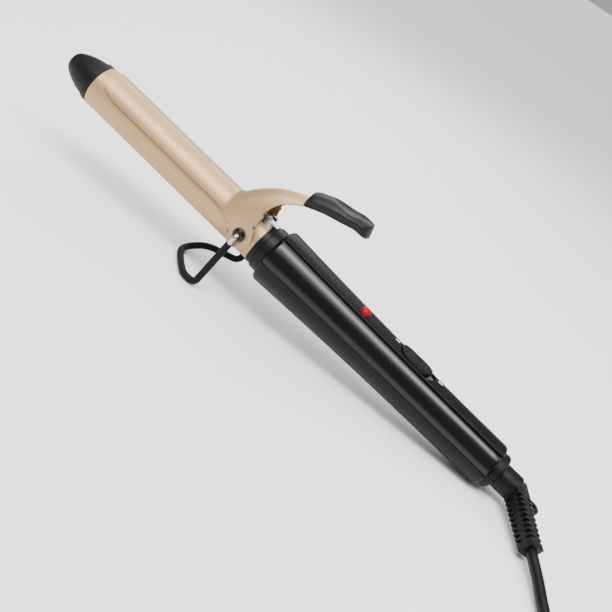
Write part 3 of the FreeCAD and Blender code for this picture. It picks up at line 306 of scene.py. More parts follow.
def rounded(points, radii, closed=True, steps=7):
    """An outline with rounded corners, one radius for each point; None takes the widest bend that fits."""
    points = [Vector(p) for p in points]
    result = []
    for i, (point, radius) in enumerate(zip(points, radii)):
        if radius == 0 or (not closed and i in (0, len(points) - 1)):
            result.append(point)
            continue
        before, after = points[i - 1] - point, points[(i + 1) % len(points)] - point
        half = before.angle(after) / 2
        if radius is None:
            radius = 0.495 * min(before.length, after.length) * math.tan(half)
        before.normalize()
        after.normalize()
        centre = point + (before + after).normalized() * (radius / math.sin(half))
        first = point + before * (radius / math.tan(half)) - centre
        last = point + after * (radius / math.tan(half)) - centre
        total = first.angle(last)
        for k in range(steps + 1):
            share = k / steps * total
            spoke = first * math.sin(total - share) + last * math.sin(share)
            result.append(centre + spoke / math.sin(total))
    return result


def bowed(start, via, end, steps=14):
    """Points of a shallow curve from start to end through via, without the start."""
    start, via, end = Vector(start), Vector(via), Vector(end)
    pull = via * 2 - (start + end) / 2
    return [start * (1 - t) ** 2 + pull * 2 * t * (1 - t) + end * t * t
            for t in ((i + 1) / steps for i in range(steps))]


def through(points, x):
    """A smooth height at x from a list of (x, height)."""
    if x <= points[0][0]:
        return points[0][1]
    if x >= points[-1][0]:
        return points[-1][1]
    i = max(k for k, point in enumerate(points) if point[0] <= x)
    (x0, z0), (x1, z1) = points[i], points[i + 1]

    def slope(k):
        low, high = points[max(0, k - 1)], points[min(len(points) - 1, k + 1)]
        return (high[1] - low[1]) / (high[0] - low[0])

    span, t = x1 - x0, (x - x0) / (x1 - x0)
    return (z0 * (1 + 2 * t) * (1 - t) ** 2 + slope(i) * span * t * (1 - t) ** 2
            + z1 * t * t * (3 - 2 * t) - slope(i + 1) * span * t * t * (1 - t))


def turned(outline, start=0.0, sweep=360.0, closed=True, place=None, steps=None):
    """A piece turned about the X axis from an outline of (x, radius); angles run from +Z towards -Y."""
    bm = bmesh.new()
    side, up = -math.sin(math.radians(start)), math.cos(math.radians(start))
    ring = [bm.verts.new((x, r * side, r * up)) for x, r in outline]
    edges = [bm.edges.new(pair) for pair in zip(ring, ring[1:])]
    if closed:
        edges.append(bm.edges.new((ring[-1], ring[0])))
    whole = sweep >= 360.0
    made = bmesh.ops.spin(bm, geom=ring + edges, cent=(0, 0, 0), axis=(1, 0, 0), angle=math.radians(sweep),
                          steps=max(6, round((steps or sizes().steps) * sweep / 360.0)), use_merge=whole)
    if whole:
        bmesh.ops.remove_doubles(bm, verts=bm.verts, dist=0.001)
    else:
        far = [e for e in made["geom_last"] if isinstance(e, bmesh.types.BMEdge)]
        for loop in (edges, far):
            bmesh.ops.contextual_create(bm, geom=loop)
    bmesh.ops.recalc_face_normals(bm, faces=bm.faces)
    if place:
        bm.transform(place)
    return bm


def loft(loops, caps=True):
    """A skin bridged through loops of points, with flat caps."""
    bm = bmesh.new()
    rings = []
    for loop in loops:
        verts = [bm.verts.new(p) for p in loop]
        rings.append([bm.edges.new(pair) for pair in zip(verts, verts[1:] + verts[:1])])
    for near, far in zip(rings, rings[1:]):
        bmesh.ops.bridge_loops(bm, edges=near + far)
    if caps:
        for ring in (rings[0], rings[-1]):
            bmesh.ops.contextual_create(bm, geom=ring)
    bmesh.ops.recalc_face_normals(bm, faces=bm.faces)
    return bm


def tube(path, radius, around=28):
    """A round rod along a path of points."""
    path = [Vector(p) for p in path]
    loops = []
    across = None
    for i, point in enumerate(path):
        along = (path[min(i + 1, len(path) - 1)] - path[max(i - 1, 0)]).normalized()
        across = along.orthogonal() if across is None else across - along * across.dot(along)
        across.normalize()
        up = along.cross(across)
        loops.append([point + (across * math.cos(a) + up * math.sin(a)) * radius
                      for a in (2 * math.pi * k / around for k in range(around))])
    return loft(loops)


def block(low, high):
    """A box from its lowest to its highest corner."""
    bm = bmesh.new()
    size = Vector(high) - Vector(low)
    middle = (Vector(high) + Vector(low)) / 2
    bmesh.ops.create_cube(bm, size=1.0, matrix=Matrix.Translation(middle) @ Matrix.Diagonal((*size, 1)))
    return bm


def add(bm, *others):
    """Puts the other shapes into the first one."""
    for other in others:
        mesh = bpy.data.meshes.new("part")
        other.to_mesh(mesh)
        other.free()
        bm.from_mesh(mesh)
        bpy.data.meshes.remove(mesh)
    return bm


def carved(bm, *cutters):
    """The shape with the cutters taken away from it, one after another."""
    whole = []
    for shape in (bm, *cutters):
        mesh = bpy.data.meshes.new("carving")
        shape.to_mesh(mesh)
        shape.free()
        whole.append(bpy.data.objects.new("carving", mesh))
        bpy.context.scene.collection.objects.link(whole[-1])
    body = whole[0]
    for tool in whole[1:]:
        step = body.modifiers.new("carve", "BOOLEAN")
        step.object, step.operation, step.solver = tool, "DIFFERENCE", "EXACT"
    made = bmesh.new()
    made.from_object(body, bpy.context.evaluated_depsgraph_get())
    for piece in whole:
        mesh = piece.data
        bpy.data.objects.remove(piece)
        bpy.data.meshes.remove(mesh)
    return made


def thicken(bm, thickness):
    """Gives an open sheet its thickness on the inside, and closes it with a rim that is marked 1."""
    bm.normal_update()
    rim, outer = [e for e in bm.edges if e.is_boundary], list(bm.verts)
    copy = bmesh.ops.duplicate(bm, geom=outer + list(bm.edges) + list(bm.faces))
    for vert in outer:
        copy["vert_map"][vert].co = vert.co - vert.normal * thickness
    closed = bmesh.ops.bridge_loops(bm, edges=rim + [copy["edge_map"][e] for e in rim])
    for face in closed["faces"]:
        face.material_index = 1
    bmesh.ops.recalc_face_normals(bm, faces=bm.faces)
    return bm


def soften(bm, width, angle=50.0, segments=3, keep=lambda edge: True, mark=0):
    """Rounds the edges that turn by more than an angle, and marks the new faces."""
    limit = math.radians(angle)
    edges = [e for e in bm.edges if len(e.link_faces) == 2 and e.calc_face_angle(0.0) > limit and keep(e)]
    made = bmesh.ops.bevel(bm, geom=edges, offset=width, offset_type="OFFSET", segments=segments, profile=0.5,
                           affect="EDGES", clamp_overlap=True, material=-1)
    for face in made["faces"]:
        face.material_index = mark
    return bm


def fit(bm, name, slot, body, nodes, place=None, angle=32.0):
    """Makes the shape a piece of the iron, in place of CAD nodes, moving with a body."""
    bm.transform(IRON if place is None else place)
    mesh = bpy.data.meshes.new(name)
    bm.to_mesh(mesh)
    bm.free()
    mesh.shade_smooth()
    mesh.set_sharp_from_angle(angle=math.radians(angle))
    piece = bpy.data.objects.new(name, mesh)
    bpy.context.scene.collection.objects.link(piece)
    mesh.materials.append(MATERIALS[slot])
    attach(piece, body)
    if nodes:
        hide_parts(*nodes)
    return piece


def upright(x, y, z):
    """A placing that stands a piece turned about X along Z."""
    return Matrix.Translation((x, y, z)) @ Matrix.Rotation(math.radians(-90), 4, "Y")


# ------------------------------------------------------------------ barrel, tip and collars

BARREL_FRONT, BARREL_BACK = -111.3, 21.0


class IRON_OT_barrel(Operator):
    """Turns the barrel, its cool tip and the two collar rings at its root"""
    bl_idname = "iron.barrel"
    bl_label = "Barrel and tip"

    def execute(self, context):
        radius = sizes().barrel / 2
        bore = radius - 1.0
        outline = rounded([(BARREL_FRONT, bore), (BARREL_FRONT, radius), (BARREL_BACK, radius),
                           (BARREL_BACK, bore)], [0, 0.25, 0.25, 0])
        fit(turned(outline, steps=144), "barrel", "gold", "handle", ["barrel_tube"])

        nose = [Vector((-130.6, 0.0)), Vector((-130.6, 2.4))]
        nose += bowed(nose[-1], (-130.2, 4.1), (-129.2, 5.3), 6)
        nose += bowed(nose[-1], (-122.4, 8.55), (-115.0, 10.15))
        lip = rounded([(-115.0, 10.15), (-114.9, 10.85), (BARREL_FRONT, 10.85), (BARREL_FRONT, bore - 0.02)],
                      [0, 0.3, 0.2, 0])[1:]
        plug = [(-102.3, bore - 0.02), (-102.3, bore - 2), (-110.3, bore - 2), (-110.3, 0.0)]
        fit(turned(nose + lip + [Vector(p) for p in plug], closed=False, steps=144), "cool_tip", "tip_black",
            "handle", ["tip_cap"])

        ring = rounded([(0, radius), (0, radius + 0.5), (3.1, radius + 0.5), (3.1, radius)], [0, 0.2, 0.2, 0])
        fit(turned(ring, steps=144), "front_ring", "body_black", "handle", ["front_collar"])
        ring = rounded([(3.1, radius), (3.1, radius + 1.3), (7.7, radius + 1.3), (7.7, radius)],
                       [0, 0.45, 0.2, 0])
        fit(turned(ring, steps=144), "rear_ring", "body_black", "handle", ["rear_collar"])
        return {"FINISHED"}


# ------------------------------------------------------------------ clip

EAR_HALF = 12.9                    # half the width over the ears
# Height of the clip's crown along the iron, from the spoon up into the lever.
CROWN = [(-26, 12.05), (-24.2, 12.1), (-22.4, 13.3), (-20, 16.4), (-15.2, 21.8), (-10.5, 26.3), (-5.7, 29.6),
         (-1.3, 32.0), (3.6, 34.3), (9.5, 36.6), (16, 38.8)]
# Ribs of the pressed sheet: (x, z) on the crown, (x, z) on the cut edge, and how far the rib bows along x.
RIBS = [(-106.7, 12.05, -106.7, 9.4, 0), (-105.5, 12.05, -105.9, 7.9, 0), (-103.5, 12.05, -104.4, 6.5, 0),
        (-100.5, 12.05, -101.2, 5.0, 0), (-96, 12.05, -96, 4.2, 0), (-80, 12.05, -80, 4.2, 0),
        (-60, 12.05, -60, 4.2, 0), (-42, 12.05, -42, 4.2, 0), (-31, 12.05, -31, 4.2, 0),
        (-27.5, 12.05, -26.5, 4.05, 0), (-25.2, 12.1, -22.6, 3.6, 0), (-24.0, 12.25, -19.2, 2.5, 0),
        (-23.0, 12.9, -16.0, 0.6, -0.5), (-22.2, 13.6, -14.6, -1.6, -0.8), (-21.2, 14.8, -13.2, -4.2, -1),
        (-20.0, 16.4, -10.9, -5.9, -1.5), (-18.0, 18.8, -8.2, -6.3, -2), (-15.8, 21.2, -5.4, -5.4, -2.5),
        (-13.6, 23.4, -3.2, -3.2, -3), (-11.6, 25.3, -2.15, -0.2, -3.4), (-9.8, 26.8, -2.3, 3.0, -3.5),
        (-8.2, 28.0, -3.6, 6.4, -2.5), (-6.8, 28.95, -5.0, 10, -1.2), (-5.6, 29.65, -5.85, 14, 0),
        (-4.5, 30.25, -5.8, 17.8, 0), (-3.3, 30.9, -4.9, 21.4, 0), (-1.8, 31.7, -2.9, 24.9, 0),
        (0.4, 32.8, 0.2, 28.0, 0), (3.4, 34.2, 4.0, 30.8, 0), (8.5, 36.2, 8.6, 33.0, 0),
        (15.6, 38.7, 14.6, 35.6, 0)]


def rib_at(place):
    """The rib at a place between two of the list, eased so that the sheet has no kinks."""
    i = min(int(place), len(RIBS) - 2)
    t = place - i
    p0, p1 = RIBS[max(0, i - 1)], RIBS[i]
    p2, p3 = RIBS[i + 1], RIBS[min(len(RIBS) - 1, i + 2)]
    span = [max(0.4, math.hypot(b[0] - a[0], b[1] - a[1])) for a, b in ((p0, p1), (p1, p2), (p2, p3))]
    rib = []
    for a, b, c, e in zip(p0, p1, p2, p3):
        into = (c - a) / (span[0] + span[1]) * span[1]
        out = (e - b) / (span[1] + span[2]) * span[1]
        rib.append(b * (1 + 2 * t) * (1 - t) ** 2 + into * t * (1 - t) ** 2 + c * t * t * (3 - 2 * t)
                   - out * t * t * (1 - t))
    return rib


def clip_point(place, across):
    """A point of the clip's outer face: place counts ribs, across runs from -1 to 1 over the iron."""
    xc, zc, xe, ze, bow = rib_at(place)
    t = 1 - math.cos(abs(across) * math.pi / 2)
    x = (1 - t) ** 2 * xc + 2 * t * (1 - t) * ((xc + xe) / 2 + bow) + t * t * xe
    z = zc + (ze - zc) * t
    ease = min(1.0, max(0.0, (x + 26) / 12))
    half = 12.05 + (EAR_HALF - 12.05) * ease * ease * (3 - 2 * ease)
    crown = through(CROWN, x) + (zc - through(CROWN, xc)) * (1 - t)
    y = half * math.sqrt(max(0.0, 1 - (max(z, 0.0) / crown) ** 2))
    # a shallow dish round the pivot, and a raised bead along the ear's lower edge
    near = math.hypot(x - PIVOT_IN_IRON[0], z - PIVOT_IN_IRON[2])
    y -= 0.3 * max(0.0, 1 - (near / 6.2) ** 2)
    if 11 < place < 23:
        lift = min(1.0, (place - 11) / 2, (23 - place) / 2)
        y += 0.32 * lift * math.exp(-((abs(across) - 0.955) / 0.03) ** 2)
    return Vector((x, math.copysign(y, across), z))


class IRON_OT_clip(Operator):
    """Presses the clip from one sheet: the spoon, the two ears and the lever"""
    bl_idname = "iron.clip"
    bl_label = "Clip"

    def execute(self, context):
        bm = bmesh.new()
        rows, columns = 3 * (len(RIBS) - 1), 72
        grid = bmesh.ops.create_grid(bm, x_segments=rows, y_segments=columns, size=1.0)["verts"]
        for vert in grid:
            vert.co = clip_point((vert.co.x + 1) / 2 * (len(RIBS) - 1), vert.co.y)
        bmesh.ops.recalc_face_normals(bm, faces=bm.faces)
        if max(bm.faces, key=lambda f: f.calc_center_median().z).normal.z < 0:
            bmesh.ops.reverse_faces(bm, faces=bm.faces)
        thicken(bm, sizes().sheet)
        soften(bm, 0.4, angle=60, mark=1)
        # the rim and the rounding beside it carry the painted shade that stands for the shadow gap under the
        # clip's edge
        cut = bm.loops.layers.float.new("cut_edge_painted_shade")
        for face in bm.faces:
            for corner in face.loops:
                corner[cut] = float(face.material_index)
            face.material_index = 0
        fit(bm, "clip_sheet", "gold", "clip", ["clip"])
        return {"FINISHED"}


# ------------------------------------------------------------------ thumb grip

# Side views of the grip, as (x, z): along its crown, its underside, and the crease on its flanks.
GRIP_TOP = [(4.2, 37.8), (6.5, 39.5), (10.1, 41.2), (14.2, 42.9), (18, 43.8), (23, 44.8), (29, 45.7),
            (33, 46.0), (37.5, 45.9)]
GRIP_LOW = [(4.2, 31.0), (6.2, 31.9), (9, 33.0), (15.3, 35.3), (22.6, 37.5), (29.9, 39.4), (33.5, 39.8),
            (37.5, 39.9)]
GRIP_CREASE = [(4.2, 34.6), (6.3, 35.9), (12.4, 38.7), (17.8, 40.8), (23.9, 42.2), (32.5, 43.7), (37.5, 44.2)]
SCOOP_START, SCOOP_END = 10.0, 36.5


def grip_section(x, width):
    """A section of the grip: recessed flanks, a crease, a crowned top, and the thumb's scoop in it."""
    top, low, crease = through(GRIP_TOP, x), through(GRIP_LOW, x), through(GRIP_CREASE, x)
    share = min(1.0, max(0.0, (x - SCOOP_START) / (SCOOP_END - SCOOP_START)))
    reach = 0.2 + 5.1 * math.sin(math.pi * share) ** 0.6
    depth = 1.5 * math.sin(math.pi * share) ** 0.8
    step = 0.55 * min(1.0, max(0.0, (33.6 - x) / 0.4), max(0.0, (x - 5.2) / 2.0))

    def crown(y):
        return top - (top - crease) * (y / width) ** 2.8

    half = [(0, low), (width - 2.2, low), (width - 1.2, low + 0.25), (width - 0.35 - step, low + 0.95),
            (width - step, low + 1.8), (width - step, crease - 0.45), (width - step * 0.9, crease - 0.3),
            (width - 0.06, crease - 0.1), (width, crease)]
    half += [(y, crown(y)) for y in (width - (width - reach) * k / 6 for k in range(1, 7))]
    half += [(reach * y, crown(reach) - depth * (1 - y * y)) for y in (0.94, 0.86, 0.75, 0.6, 0.4, 0.2, 0)]
    both = half + [(-y, z) for y, z in half[-2:0:-1]]
    return both


def grip_loop(x, width, share=1.0):
    """A section drawn in towards its middle; the rear face is bowed in plan and leans forward to the top."""
    ease = min(1.0, max(0.0, (x - 22) / 14))
    ease = ease * ease * (3 - 2 * ease)
    middle = (through(GRIP_TOP, x) + through(GRIP_LOW, x)) / 2
    inner = [(y * share, middle + (z - middle) * share) for y, z in grip_section(x, width)]
    return [Vector((x - ease * (0.072 * y * y + 0.33 * (z - 40)), y, z)) for y, z in inner]


class IRON_OT_grip(Operator):
    """Moulds the thumb grip over the end of the lever"""
    bl_idname = "iron.grip"
    bl_label = "Thumb grip"

    def execute(self, context):
        stations = [(4.4, 5.6), (4.55, 6.1), (4.9, 6.5), (5.5, 6.8), (6.4, 7.0)]
        stations += [(x, 7.0) for x in (7.5, 9, 10, 10.8, 11.8, 13, 14.5, 16, 18, 20, 22, 24, 26, 28, 30,
                                        31.5, 33, 33.2, 33.6, 34.6, 35.6, 36.2)]
        stations += [(36.7, 6.9), (37.1, 6.6), (37.3, 6.2)]
        stations += [(37.42, 6.2, share) for share in (0.95, 0.8, 0.6, 0.4, 0.2, 0.06)]
        bm = soften(loft([grip_loop(*station) for station in stations]), 0.3, angle=55)
        fit(bm, "thumb_rest", "grip_black", "clip", ["thumb_grip"], angle=28)
        return {"FINISHED"}


# ------------------------------------------------------------------ handle

HANDLE_FRONT, HANDLE_END = 7.7, 153.0
FRONT_ROUND, REAR_ROUND = 2.6, 2.1


def handle_radius(x):
    """The handle narrows along a gentle curve and runs level at its rear end."""
    rear, front = sizes().handle_rear / 2, sizes().handle_front / 2
    return rear + (front - rear) * (max(0.0, 150.0 - x) / 139.7) ** 2


def handle_outside():
    """The handle's side outline from its front face to its rear face."""
    def corner(x, radius, first, last, steps=8):
        level = handle_radius(x) - radius
        return [Vector((x + radius * math.cos(a), level + radius * math.sin(a)))
                for a in (math.radians(first + (last - first) * k / steps) for k in range(steps + 1))]

    front, rear = HANDLE_FRONT + FRONT_ROUND, HANDLE_END - REAR_ROUND
    body = [Vector((x, handle_radius(x))) for x in (front + (rear - front) * k / 48 for k in range(1, 48))]
    return corner(front, FRONT_ROUND, 180, 90) + body + corner(rear, REAR_ROUND, 90, 0)


def wall_section(x, outer, inner, first, last, ease=0.45):
    """A section of a handle piece between two angles, with its two outer corners rounded."""
    points = []
    for edge, inward in ((first, 1), (last, -1)):
        corner = []
        for k in range(6):
            turn = math.radians(18 * k)
            shift = ease * (1 - math.cos(turn)) / outer
            corner.append((outer - ease + ease * math.sin(turn), edge + inward * shift))
        points.append(corner)
    span = points[1][-1][1] - points[0][-1][1]
    count = max(8, round(span * 20))
    arc = [(outer, points[0][-1][1] + span * k / count) for k in range(1, count)]
    under = [(inner, last - (last - first) * k / count) for k in range(count + 1)]
    return [Vector((x, -r * math.sin(a), r * math.cos(a)))
            for r, a in points[0] + arc + points[1][::-1] + under]


def wall(first, last, inside, gaps=(0.5, 0.5)):
    """A piece of the handle's wall between two angles; inside gives its inner radius at x."""
    first, last = math.radians(first + gaps[0]), math.radians(last - gaps[1])
    stations = [(p.x, p.y) for p in handle_outside()]
    stations = [(x + 0.0005 * i, r) for i, (x, r) in enumerate(stations)]
    return loft([wall_section(x, r, min(inside(x), r - 0.8), first, last) for x, r in stations])


def skin_inside(x):
    return handle_radius(x) - 1.6


def shell_inside(x):
    """The bottom shell is thicker, and closes in round the collar and the neck at its two ends."""
    if x > HANDLE_END - 2:
        return 7.05
    return 12.35 if x < HANDLE_FRONT + 2.2 else handle_radius(x) - 3.0


def oblong(length, width, x, low, high, shoulder=5.2):
    """An upright prism with rounded, slightly pointed ends, like a small boat seen from above."""
    end = []
    for k in range(13):
        turn = math.radians(90 * k / 12)
        end.append((shoulder * (1 - math.cos(turn)), width / 2 * math.sin(turn) ** 1.12))
    side = [(x + a, b) for a, b in end] + [(x + length - a, b) for a, b in reversed(end)]
    plan = side + [(a, -b) for a, b in side[-2:0:-1]]
    return loft([[Vector((a, b, z)) for a, b in plan] for z in (low, high)])


LENS_X, LENS_SIDE = 59.7, -1.9
KNOB_X, KNOB_LENGTH, KNOB_WIDTH = 83.0, 19.5, 9.4
SCREWS = (34.0, 128.0)


def cross_recess(x, y, z, length, depth):
    """Two crossed slots, as a cutter for a screw head."""
    return [block((x - length / 2, y - 0.32, z - depth), (x + length / 2, y + 0.32, z + 1)),
            block((x - 0.32, y - length / 2, z - depth), (x + 0.32, y + length / 2, z + 1))]


class IRON_OT_handle(Operator):
    """Moulds the handle: bottom shell, two gloss panels and the matt strip on top"""
    bl_idname = "iron.handle"
    bl_label = "Handle"

    def execute(self, context):
        shell = wall(90, 270, shell_inside)
        wells = [turned([(0, 0), (0, 2.9), (2.2, 2.9), (2.2, 0)], closed=False, steps=48,
                        place=upright(x, 0, -handle_radius(x) - 0.5)) for x in SCREWS]
        fit(carved(shell, *wells), "bottom_shell", "body_black", "handle", ["handle_bottom_shell"])

        fit(wall(30, 90, skin_inside, (2.4, 0.5)), "near_panel", "gloss_black", "handle", ["side_panel_near"])
        fit(wall(-90, -30, skin_inside, (0.5, 2.4)), "far_panel", "gloss_black", "handle", ["side_panel_far"])

        hole = turned([(0, 0), (0, 3.08), (9, 3.08), (9, 0)], closed=False, steps=64,
                      place=upright(LENS_X, LENS_SIDE, 9))
        recess = oblong(KNOB_LENGTH + 3.1, KNOB_WIDTH + 0.7, KNOB_X - 0.3, 8.5, 17)
        strip = carved(wall(-30, 30, skin_inside, (1.2, 1.2)), hole, recess)
        fit(strip, "top_strip", "body_black", "handle", ["handle_top_strip"])

        heads = []
        for x in SCREWS:
            low = handle_radius(x) - 0.5
            outline = rounded([(0, 0), (0, 2.7), (1.1, 2.7), (1.1, 0)], [0, 0, 0.5, 0])
            head = turned(outline, closed=False, steps=48, place=upright(x, 0, low - 1.1))
            heads.append(carved(head, *cross_recess(x, 0, low, 3.0, 0.8)))
        bm = add(*heads)
        bm.transform(Matrix.Rotation(math.pi, 4, "X"))
        fit(bm, "handle_screw_heads", "steel", "handle", ["handle_screws"])
        return {"FINISHED"}


class IRON_OT_switch(Operator):
    """Adds the sliding switch knob, the indicator lens and the two printed marks"""
    bl_idname = "iron.switch"
    bl_label = "Switch and lens"

    def execute(self, context):
        middle = KNOB_X + KNOB_LENGTH / 2
        top = handle_radius(middle) + 1.1
        knob = oblong(KNOB_LENGTH, KNOB_WIDTH, KNOB_X, 10.6, top)
        for vert in knob.verts:
            if vert.co.z > 11:
                vert.co.z -= 30 - math.sqrt(900 - vert.co.y ** 2)
        soften(knob, 0.55, segments=4, keep=lambda e: min(v.co.z for v in e.verts) > 11)
        dimples = []
        for step in (-7.2, -5.1, -3.0, 3.0, 5.1, 7.2):
            ball = bmesh.new()
            shape = Matrix.Translation((middle + step, 0, top + 0.1)) @ Matrix.Diagonal((0.55, 3.2, 0.62, 1))
            bmesh.ops.create_uvsphere(ball, u_segments=24, v_segments=16, radius=1.0, matrix=shape)
            dimples.append(ball)
        stem = block((middle - 2.8, -1.4, 6.6), (middle + 2.8, 1.4, 10.9))
        fit(add(carved(knob, *dimples), stem), "slide_knob", "body_black", "switch", ["switch_knob"])

        seat = math.sqrt(handle_radius(LENS_X) ** 2 - LENS_SIDE ** 2)
        dome = [Vector((-1.9, 0)), Vector((-1.9, 2.9)), Vector((0.15, 2.9))]
        dome += bowed(dome[-1], (1.25, 2.15), (1.75, 1.2), 8) + bowed((1.75, 1.2), (1.95, 0.6), (2.0, 0), 5)
        fit(turned(dome, closed=False, steps=64, place=upright(LENS_X, LENS_SIDE, seat)), "lens", "lens_red",
            "handle", ["indicator_lens"])

        marks = [block((x - 1.3, 0.3, handle_radius(x) - 0.4), (x + 1.3, 1.2, handle_radius(x) + 0.02))
                 for x in (80.1, 108.3)]
        fit(add(*marks), "printed_marks", "mark_white", "handle", ["switch_marks"])
        return {"FINISHED"}


# ------------------------------------------------------------------ cord end

class IRON_OT_cord_end(Operator):
    """Turns the end collar's halves and the swivel neck, and moulds the slotted strain relief"""
    bl_idname = "iron.cord_end"
    bl_label = "Cord end"

    def execute(self, context):
        start, stop = HANDLE_END, HANDLE_END + 4.3
        outline = rounded([(start - 4, 4.57), (start - 4, 7.0), (start + 0.02, 7.0), (start + 0.02, 9.7),
                           (stop, 9.7), (stop, 4.57)], [0, 0, 0, 0.3, 1.2, 0])
        for side, first in (("upper", -90), ("lower", 90)):
            half = soften(turned(outline, first + 0.9, 178.2), 0.25,
                          keep=lambda e: all(math.hypot(v.co.y, v.co.z) > 8.6 for v in e.verts))
            fit(half, "end_ring_" + side, "body_black", "handle", ["end_collar_" + side])
        neck = rounded([(137.5, 2.9), (137.5, 4.5), (146.9, 4.5), (146.9, 6.2), (148.7, 6.2), (148.7, 4.5),
                        (157.55, 4.5), (157.55, 6.75), (168.5, 6.75), (168.5, 2.9)],
                       [0, 0, 0, 0, 0, 0, 0, 0.5, 1.1, 0])
        fit(turned(neck), "neck", "body_black", "cord", ["swivel_neck"])

        foot, end = Vector((147.848, 0.0, 9.492)), Vector(CORD_ROUTE[0]) / MM
        along = end - foot
        length = along.length
        along.normalize()
        across = along.cross(Vector((0, 0, 1))).normalized()
        rise = across.cross(along)
        # the bar is rolled so that one corner edge looks up and towards the near side
        roll = Matrix.Rotation(math.radians(-30), 4, "X")
        lay = Matrix.Translation(foot) @ Matrix((along, across, rise)).transposed().to_4x4() @ roll

        def corner_reach(distance):
            return 6.6 - 0.65 * distance / length

        # a square bar standing on its corner, with slots cut across its four corner edges
        loops = []
        for distance in (-3.2, length):
            reach = corner_reach(distance)
            loops.append(rounded([(distance, 0, reach), (distance, reach, 0), (distance, 0, -reach),
                                  (distance, -reach, 0)], [0.6] * 4))
        slots, pitch, depth = 9, 2.9, 2.3
        cuts = []
        for i in range(slots):
            at = 7.2 + i * pitch
            floor = corner_reach(at) - depth
            for quarter in range(4):
                cut = block((at, -3.3, floor), (at + pitch * 0.5, 3.3, floor + 4))
                cut.transform(Matrix.Rotation(math.pi / 2 * quarter, 4, "X"))
                cuts.append(cut)
        relief = soften(carved(soften(loft(loops), 0.3, angle=60), add(*cuts)), 0.12, angle=60, segments=2)
        relief.transform(lay)
        centre = foot + along * (length * 0.24) - across * 5.4 + Vector((0, 0, 1.0))
        circle = [(1.1 * math.cos(a), 3.9 + 1.1 * math.sin(a))
                  for a in (2 * math.pi * k / 24 for k in range(24))]
        loop = turned(circle, steps=64, place=upright(*centre))
        fit(add(relief, loop), "slotted_relief", "cord_black", "cord", ["strain_relief"], Matrix.Scale(MM, 4))
        return {"FINISHED"}


# ------------------------------------------------------------------ pivots, spring screw and stand

# The stand's bent wire, from the near pivot down, across the table and up to the far pivot.
TABLE_X, TABLE_Z, TILT = 151.2, -12.05, math.radians(8.1)


def on_table(x):
    """Height of the wire's middle where its sleeve lies on the table, in the iron's frame."""
    return TABLE_Z - (TABLE_X - x) * math.tan(TILT) + 1.8 / math.cos(TILT)


class IRON_OT_stand(Operator):
    """Bends the wire stand and its sleeve, and adds the grommets and the spring's screw"""
    bl_idname = "iron.stand"
    bl_label = "Stand and pivots"

    def execute(self, context):
        x, z = PIVOT_IN_IRON[0], PIVOT_IN_IRON[2]
        corners = [(x, -9.8, z), (x, -16.2, z), (-10, -16.2, on_table(-10)), (-17.2, -15.6, on_table(-17.2)),
                   (-24.6, -6.6, on_table(-24.6)), (-30.6, 3.2, on_table(-30.6)),
                   (-29.4, 10.2, on_table(-29.4) + 1), (-22.6, 12.2, -28.7), (-5.4, 16.2, -24.6),
                   (x, 16.2, z), (x, 9.8, z)]
        bends = [0, 1.65, 3.2, None, None, None, None, None, 4.2, 1.65, 0]
        path = rounded(corners, bends, closed=False, steps=9)
        wire = tube(path, sizes().wire / 2)
        fit(soften(wire, 0.2), "stand_rod", "steel", "stand", ["stand_wire"])

        covered = [p for p in path if p[2] < z - 5.2]
        near, far = Vector(corners[1]), Vector(corners[9])
        lower = [Vector(corners[2]) - near, Vector(corners[8]) - far]
        first = near + lower[0] * (5.2 / abs(lower[0].z))
        last = far + lower[1] * (5.2 / abs(lower[1].z))
        sleeve = tube([first] + covered + [last], sizes().sleeve / 2)
        fit(soften(sleeve, 0.35), "stand_cover", "sleeve_black", "stand", ["stand_sleeve"])

        dome = rounded([(-0.45, 1.35), (-0.45, 3.3), (0.35, 3.3), (1.15, 2.2), (1.15, 1.35)],
                       [0, 0, 0.35, 0.5, 0.2])
        buttons = []
        for sign in (1, -1):
            seat = Matrix.Translation((x, sign * (EAR_HALF + 0.45), z))
            buttons.append(turned(dome, steps=48, place=seat @ Matrix.Rotation(sign * math.pi / 2, 4, "Z")))
        fit(add(*buttons), "grommet_domes", "gloss_black", "handle", ["pivot_grommets"])

        head = rounded([(0, 0), (0, 2.1), (0.75, 2.1), (1.5, 1.2), (1.55, 0)], [0, 0.15, 0.3, 0.6, 0])
        screw = turned(head, closed=False, steps=48, place=upright(-5.2, 0, 12.37))
        screw = carved(screw, *cross_recess(-5.2, 0, 13.9, 2.5, 0.75))
        fit(screw, "saddle_screw_head", "steel", "handle", ["saddle_screw"])
        return {"FINISHED"}


# ------------------------------------------------------------------ plug and tie

def flat_oval(x, width, thick, corner):
    """A rounded rectangle across X."""
    a, b = width / 2, thick / 2
    plan = rounded([(-a, -b), (a, -b), (a, b), (-a, b)], [corner] * 4)
    return [Vector((x, *point)) for point in plan]


